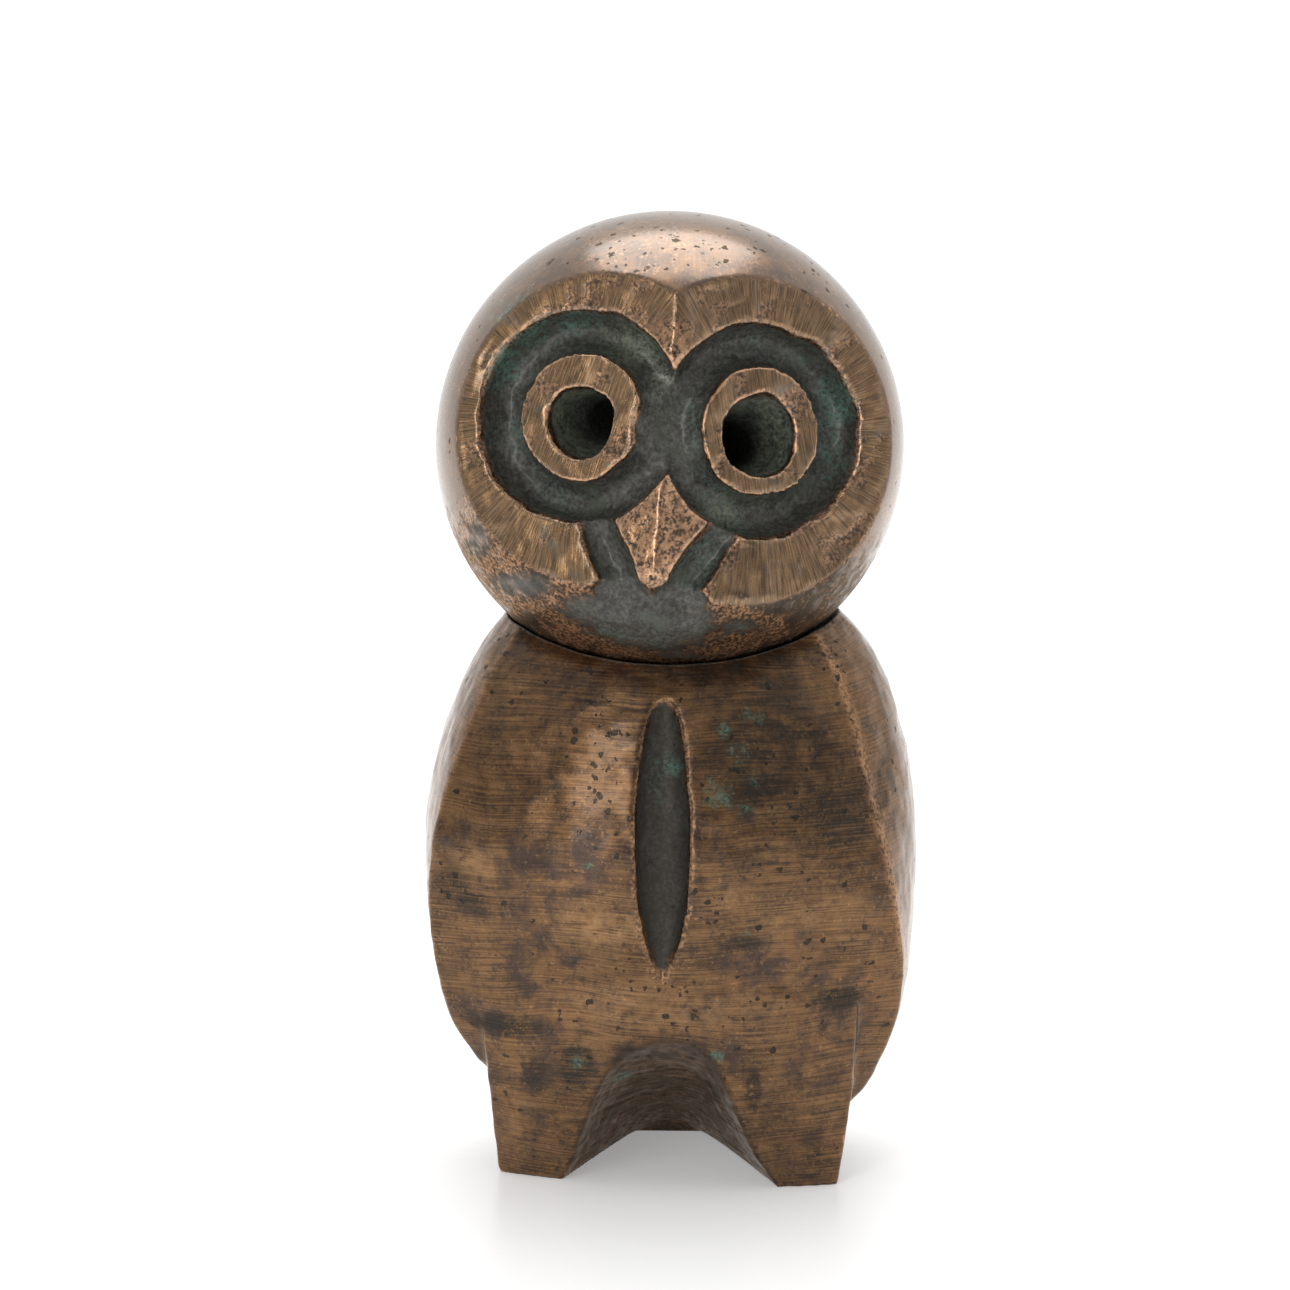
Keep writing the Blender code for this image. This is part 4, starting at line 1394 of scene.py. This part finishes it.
def greased_leather():
    material = bpy.data.materials.new("greased leather")
    material.use_nodes = True
    tree = material.node_tree
    shader = tree.nodes["Principled BSDF"]
    place = tree.nodes.new("ShaderNodeTexCoord").outputs["Object"]
    pebble = add_node(tree, "ShaderNodeTexVoronoi", Scale=2600.0)
    link(tree, place, pebble.inputs["Vector"])
    grain = pebble.outputs["Distance"]
    worn = remap(tree, grain, 0.1, 0.6)
    colour = blend_colour(tree, worn, (0.022, 0.015, 0.012), (0.060, 0.038, 0.028))
    link(tree, colour, shader.inputs["Base Color"])
    link(tree, remap(tree, grain, 0.1, 0.6, 0.55, 0.75), shader.inputs["Roughness"])
    bump = add_node(tree, "ShaderNodeBump", Strength=0.7, Distance=0.08 * MM)
    link(tree, grain, bump.inputs["Height"])
    link(tree, bump.outputs["Normal"], shader.inputs["Normal"])
    return material


STEEL = turned_steel()
LEATHER = greased_leather()
STEEL_PARTS = (
    "retainer_ring", "neck_stud", "dished_washer", "neck_spring", "flat_washer", "lock_nut",
)
for name in (*STEEL_PARTS, "seat_washer"):
    material = LEATHER if name == "seat_washer" else STEEL
    for slot in frame["nodes"][name].material_slots:
        slot.material = material
print("steel on", len(STEEL_PARTS), "parts, leather on the seat washer")

# %% [markdown]
# ## Studio
# A pale glossy sheet lies under the owl and runs far past the frame on every side, so no edge
# of it shows.

# %% Floor
deselect()
bpy.ops.mesh.primitive_plane_add(size=8)
floor = named("studio_floor")
sheet = bpy.data.materials.new("pale sheet")
sheet.use_nodes = True
sheet_shader = sheet.node_tree.nodes["Principled BSDF"]
sheet_shader.inputs["Base Color"].default_value = (0.9, 0.9, 0.9, 1)
sheet_shader.inputs["Roughness"].default_value = 0.3
sheet_shader.inputs["Specular IOR Level"].default_value = 0.35
sheet_shader.inputs["Emission Color"].default_value = (1, 1, 1, 1)
sheet_shader.inputs["Emission Strength"].default_value = 0.28
floor.data.materials.append(sheet)
bpy.context.scene.view_settings.view_transform = "Standard"
print("floor:", floor.name)

# %% [markdown]
# The room is white all round, but dimmer where the viewer stands, so the front of the metal has
# something darker to mirror.

# %% White room
room = bpy.data.worlds.new("white room")
bpy.context.scene.world = room
room.use_nodes = True
tree = room.node_tree
shine = tree.nodes["Background"]
shine.inputs["Color"].default_value = (1, 1, 1, 1)
toward = tree.nodes.new("ShaderNodeSeparateXYZ")
link(tree, tree.nodes.new("ShaderNodeTexCoord").outputs["Generated"], toward.inputs[0])
in_front = remap(tree, toward.outputs["Y"], 0.1, -0.75)
level = blend_value(tree, in_front, 0.95, 0.37)
level = math_node(tree, "ADD", level, remap(tree, toward.outputs["X"], 0.7, -0.7, 0.0, -0.04))
seen = tree.nodes.new("ShaderNodeLightPath").outputs["Is Camera Ray"]
link(tree, blend_value(tree, seen, level, 1.0), shine.inputs["Strength"])
print("room:", room.name)


# %% [markdown]
# A square soft light hangs above and a little behind. A tall narrow one stands in front to the
# left and draws the long highlight down that side.

# %% Soft lights
def soft_light(name, size, radiance, place, aim):
    data = bpy.data.lights.new(name, "AREA")
    data.shape = "RECTANGLE"
    data.size, data.size_y = size
    data.energy = radiance * math.pi * size[0] * size[1]
    lamp = bpy.data.objects.new(name, data)
    bpy.context.scene.collection.objects.link(lamp)
    lamp.location = place
    lamp.rotation_euler = (Vector(aim) - Vector(place)).to_track_quat("-Z", "Y").to_euler()
    return lamp


MIDDLE = (CAD_LOW + CAD_HIGH) / 2
soft_light("overhead softbox", (0.46, 0.42), 3.4, (0.0, 0.28, 0.62), MIDDLE)
soft_light("front left softbox", (0.13, 0.70), 6.2, (-0.27, -0.72, 0.38), MIDDLE)
print("soft lights aimed at", [round(x / MM, 1) for x in MIDDLE])

# %% [markdown]
# The camera looks slightly down on the owl from the front.

# %% Camera
CAMERA_AZIMUTH = math.radians(1.5)
CAMERA_ELEVATION = math.radians(12.0)
CAMERA_DISTANCE = 0.85
CAMERA_AIM = Vector((-3.1, 0.0, 64.8)) * MM
FRAME_WIDTH_AT_OWL = 161.25 * MM
SENSOR = 36.0

camera_data = bpy.data.cameras.new("camera")
camera_data.sensor_width = SENSOR
camera_data.lens = SENSOR * CAMERA_DISTANCE / FRAME_WIDTH_AT_OWL
camera = bpy.data.objects.new("camera", camera_data)
bpy.context.scene.collection.objects.link(camera)
back = Vector(
    (
        math.sin(CAMERA_AZIMUTH) * math.cos(CAMERA_ELEVATION),
        -math.cos(CAMERA_AZIMUTH) * math.cos(CAMERA_ELEVATION),
        math.sin(CAMERA_ELEVATION),
    )
)
camera.location = CAMERA_AIM + back * CAMERA_DISTANCE
camera.rotation_euler = back.to_track_quat("Z", "Y").to_euler()
bpy.context.scene.camera = camera
print("lens:", round(camera_data.lens, 1), "mm")
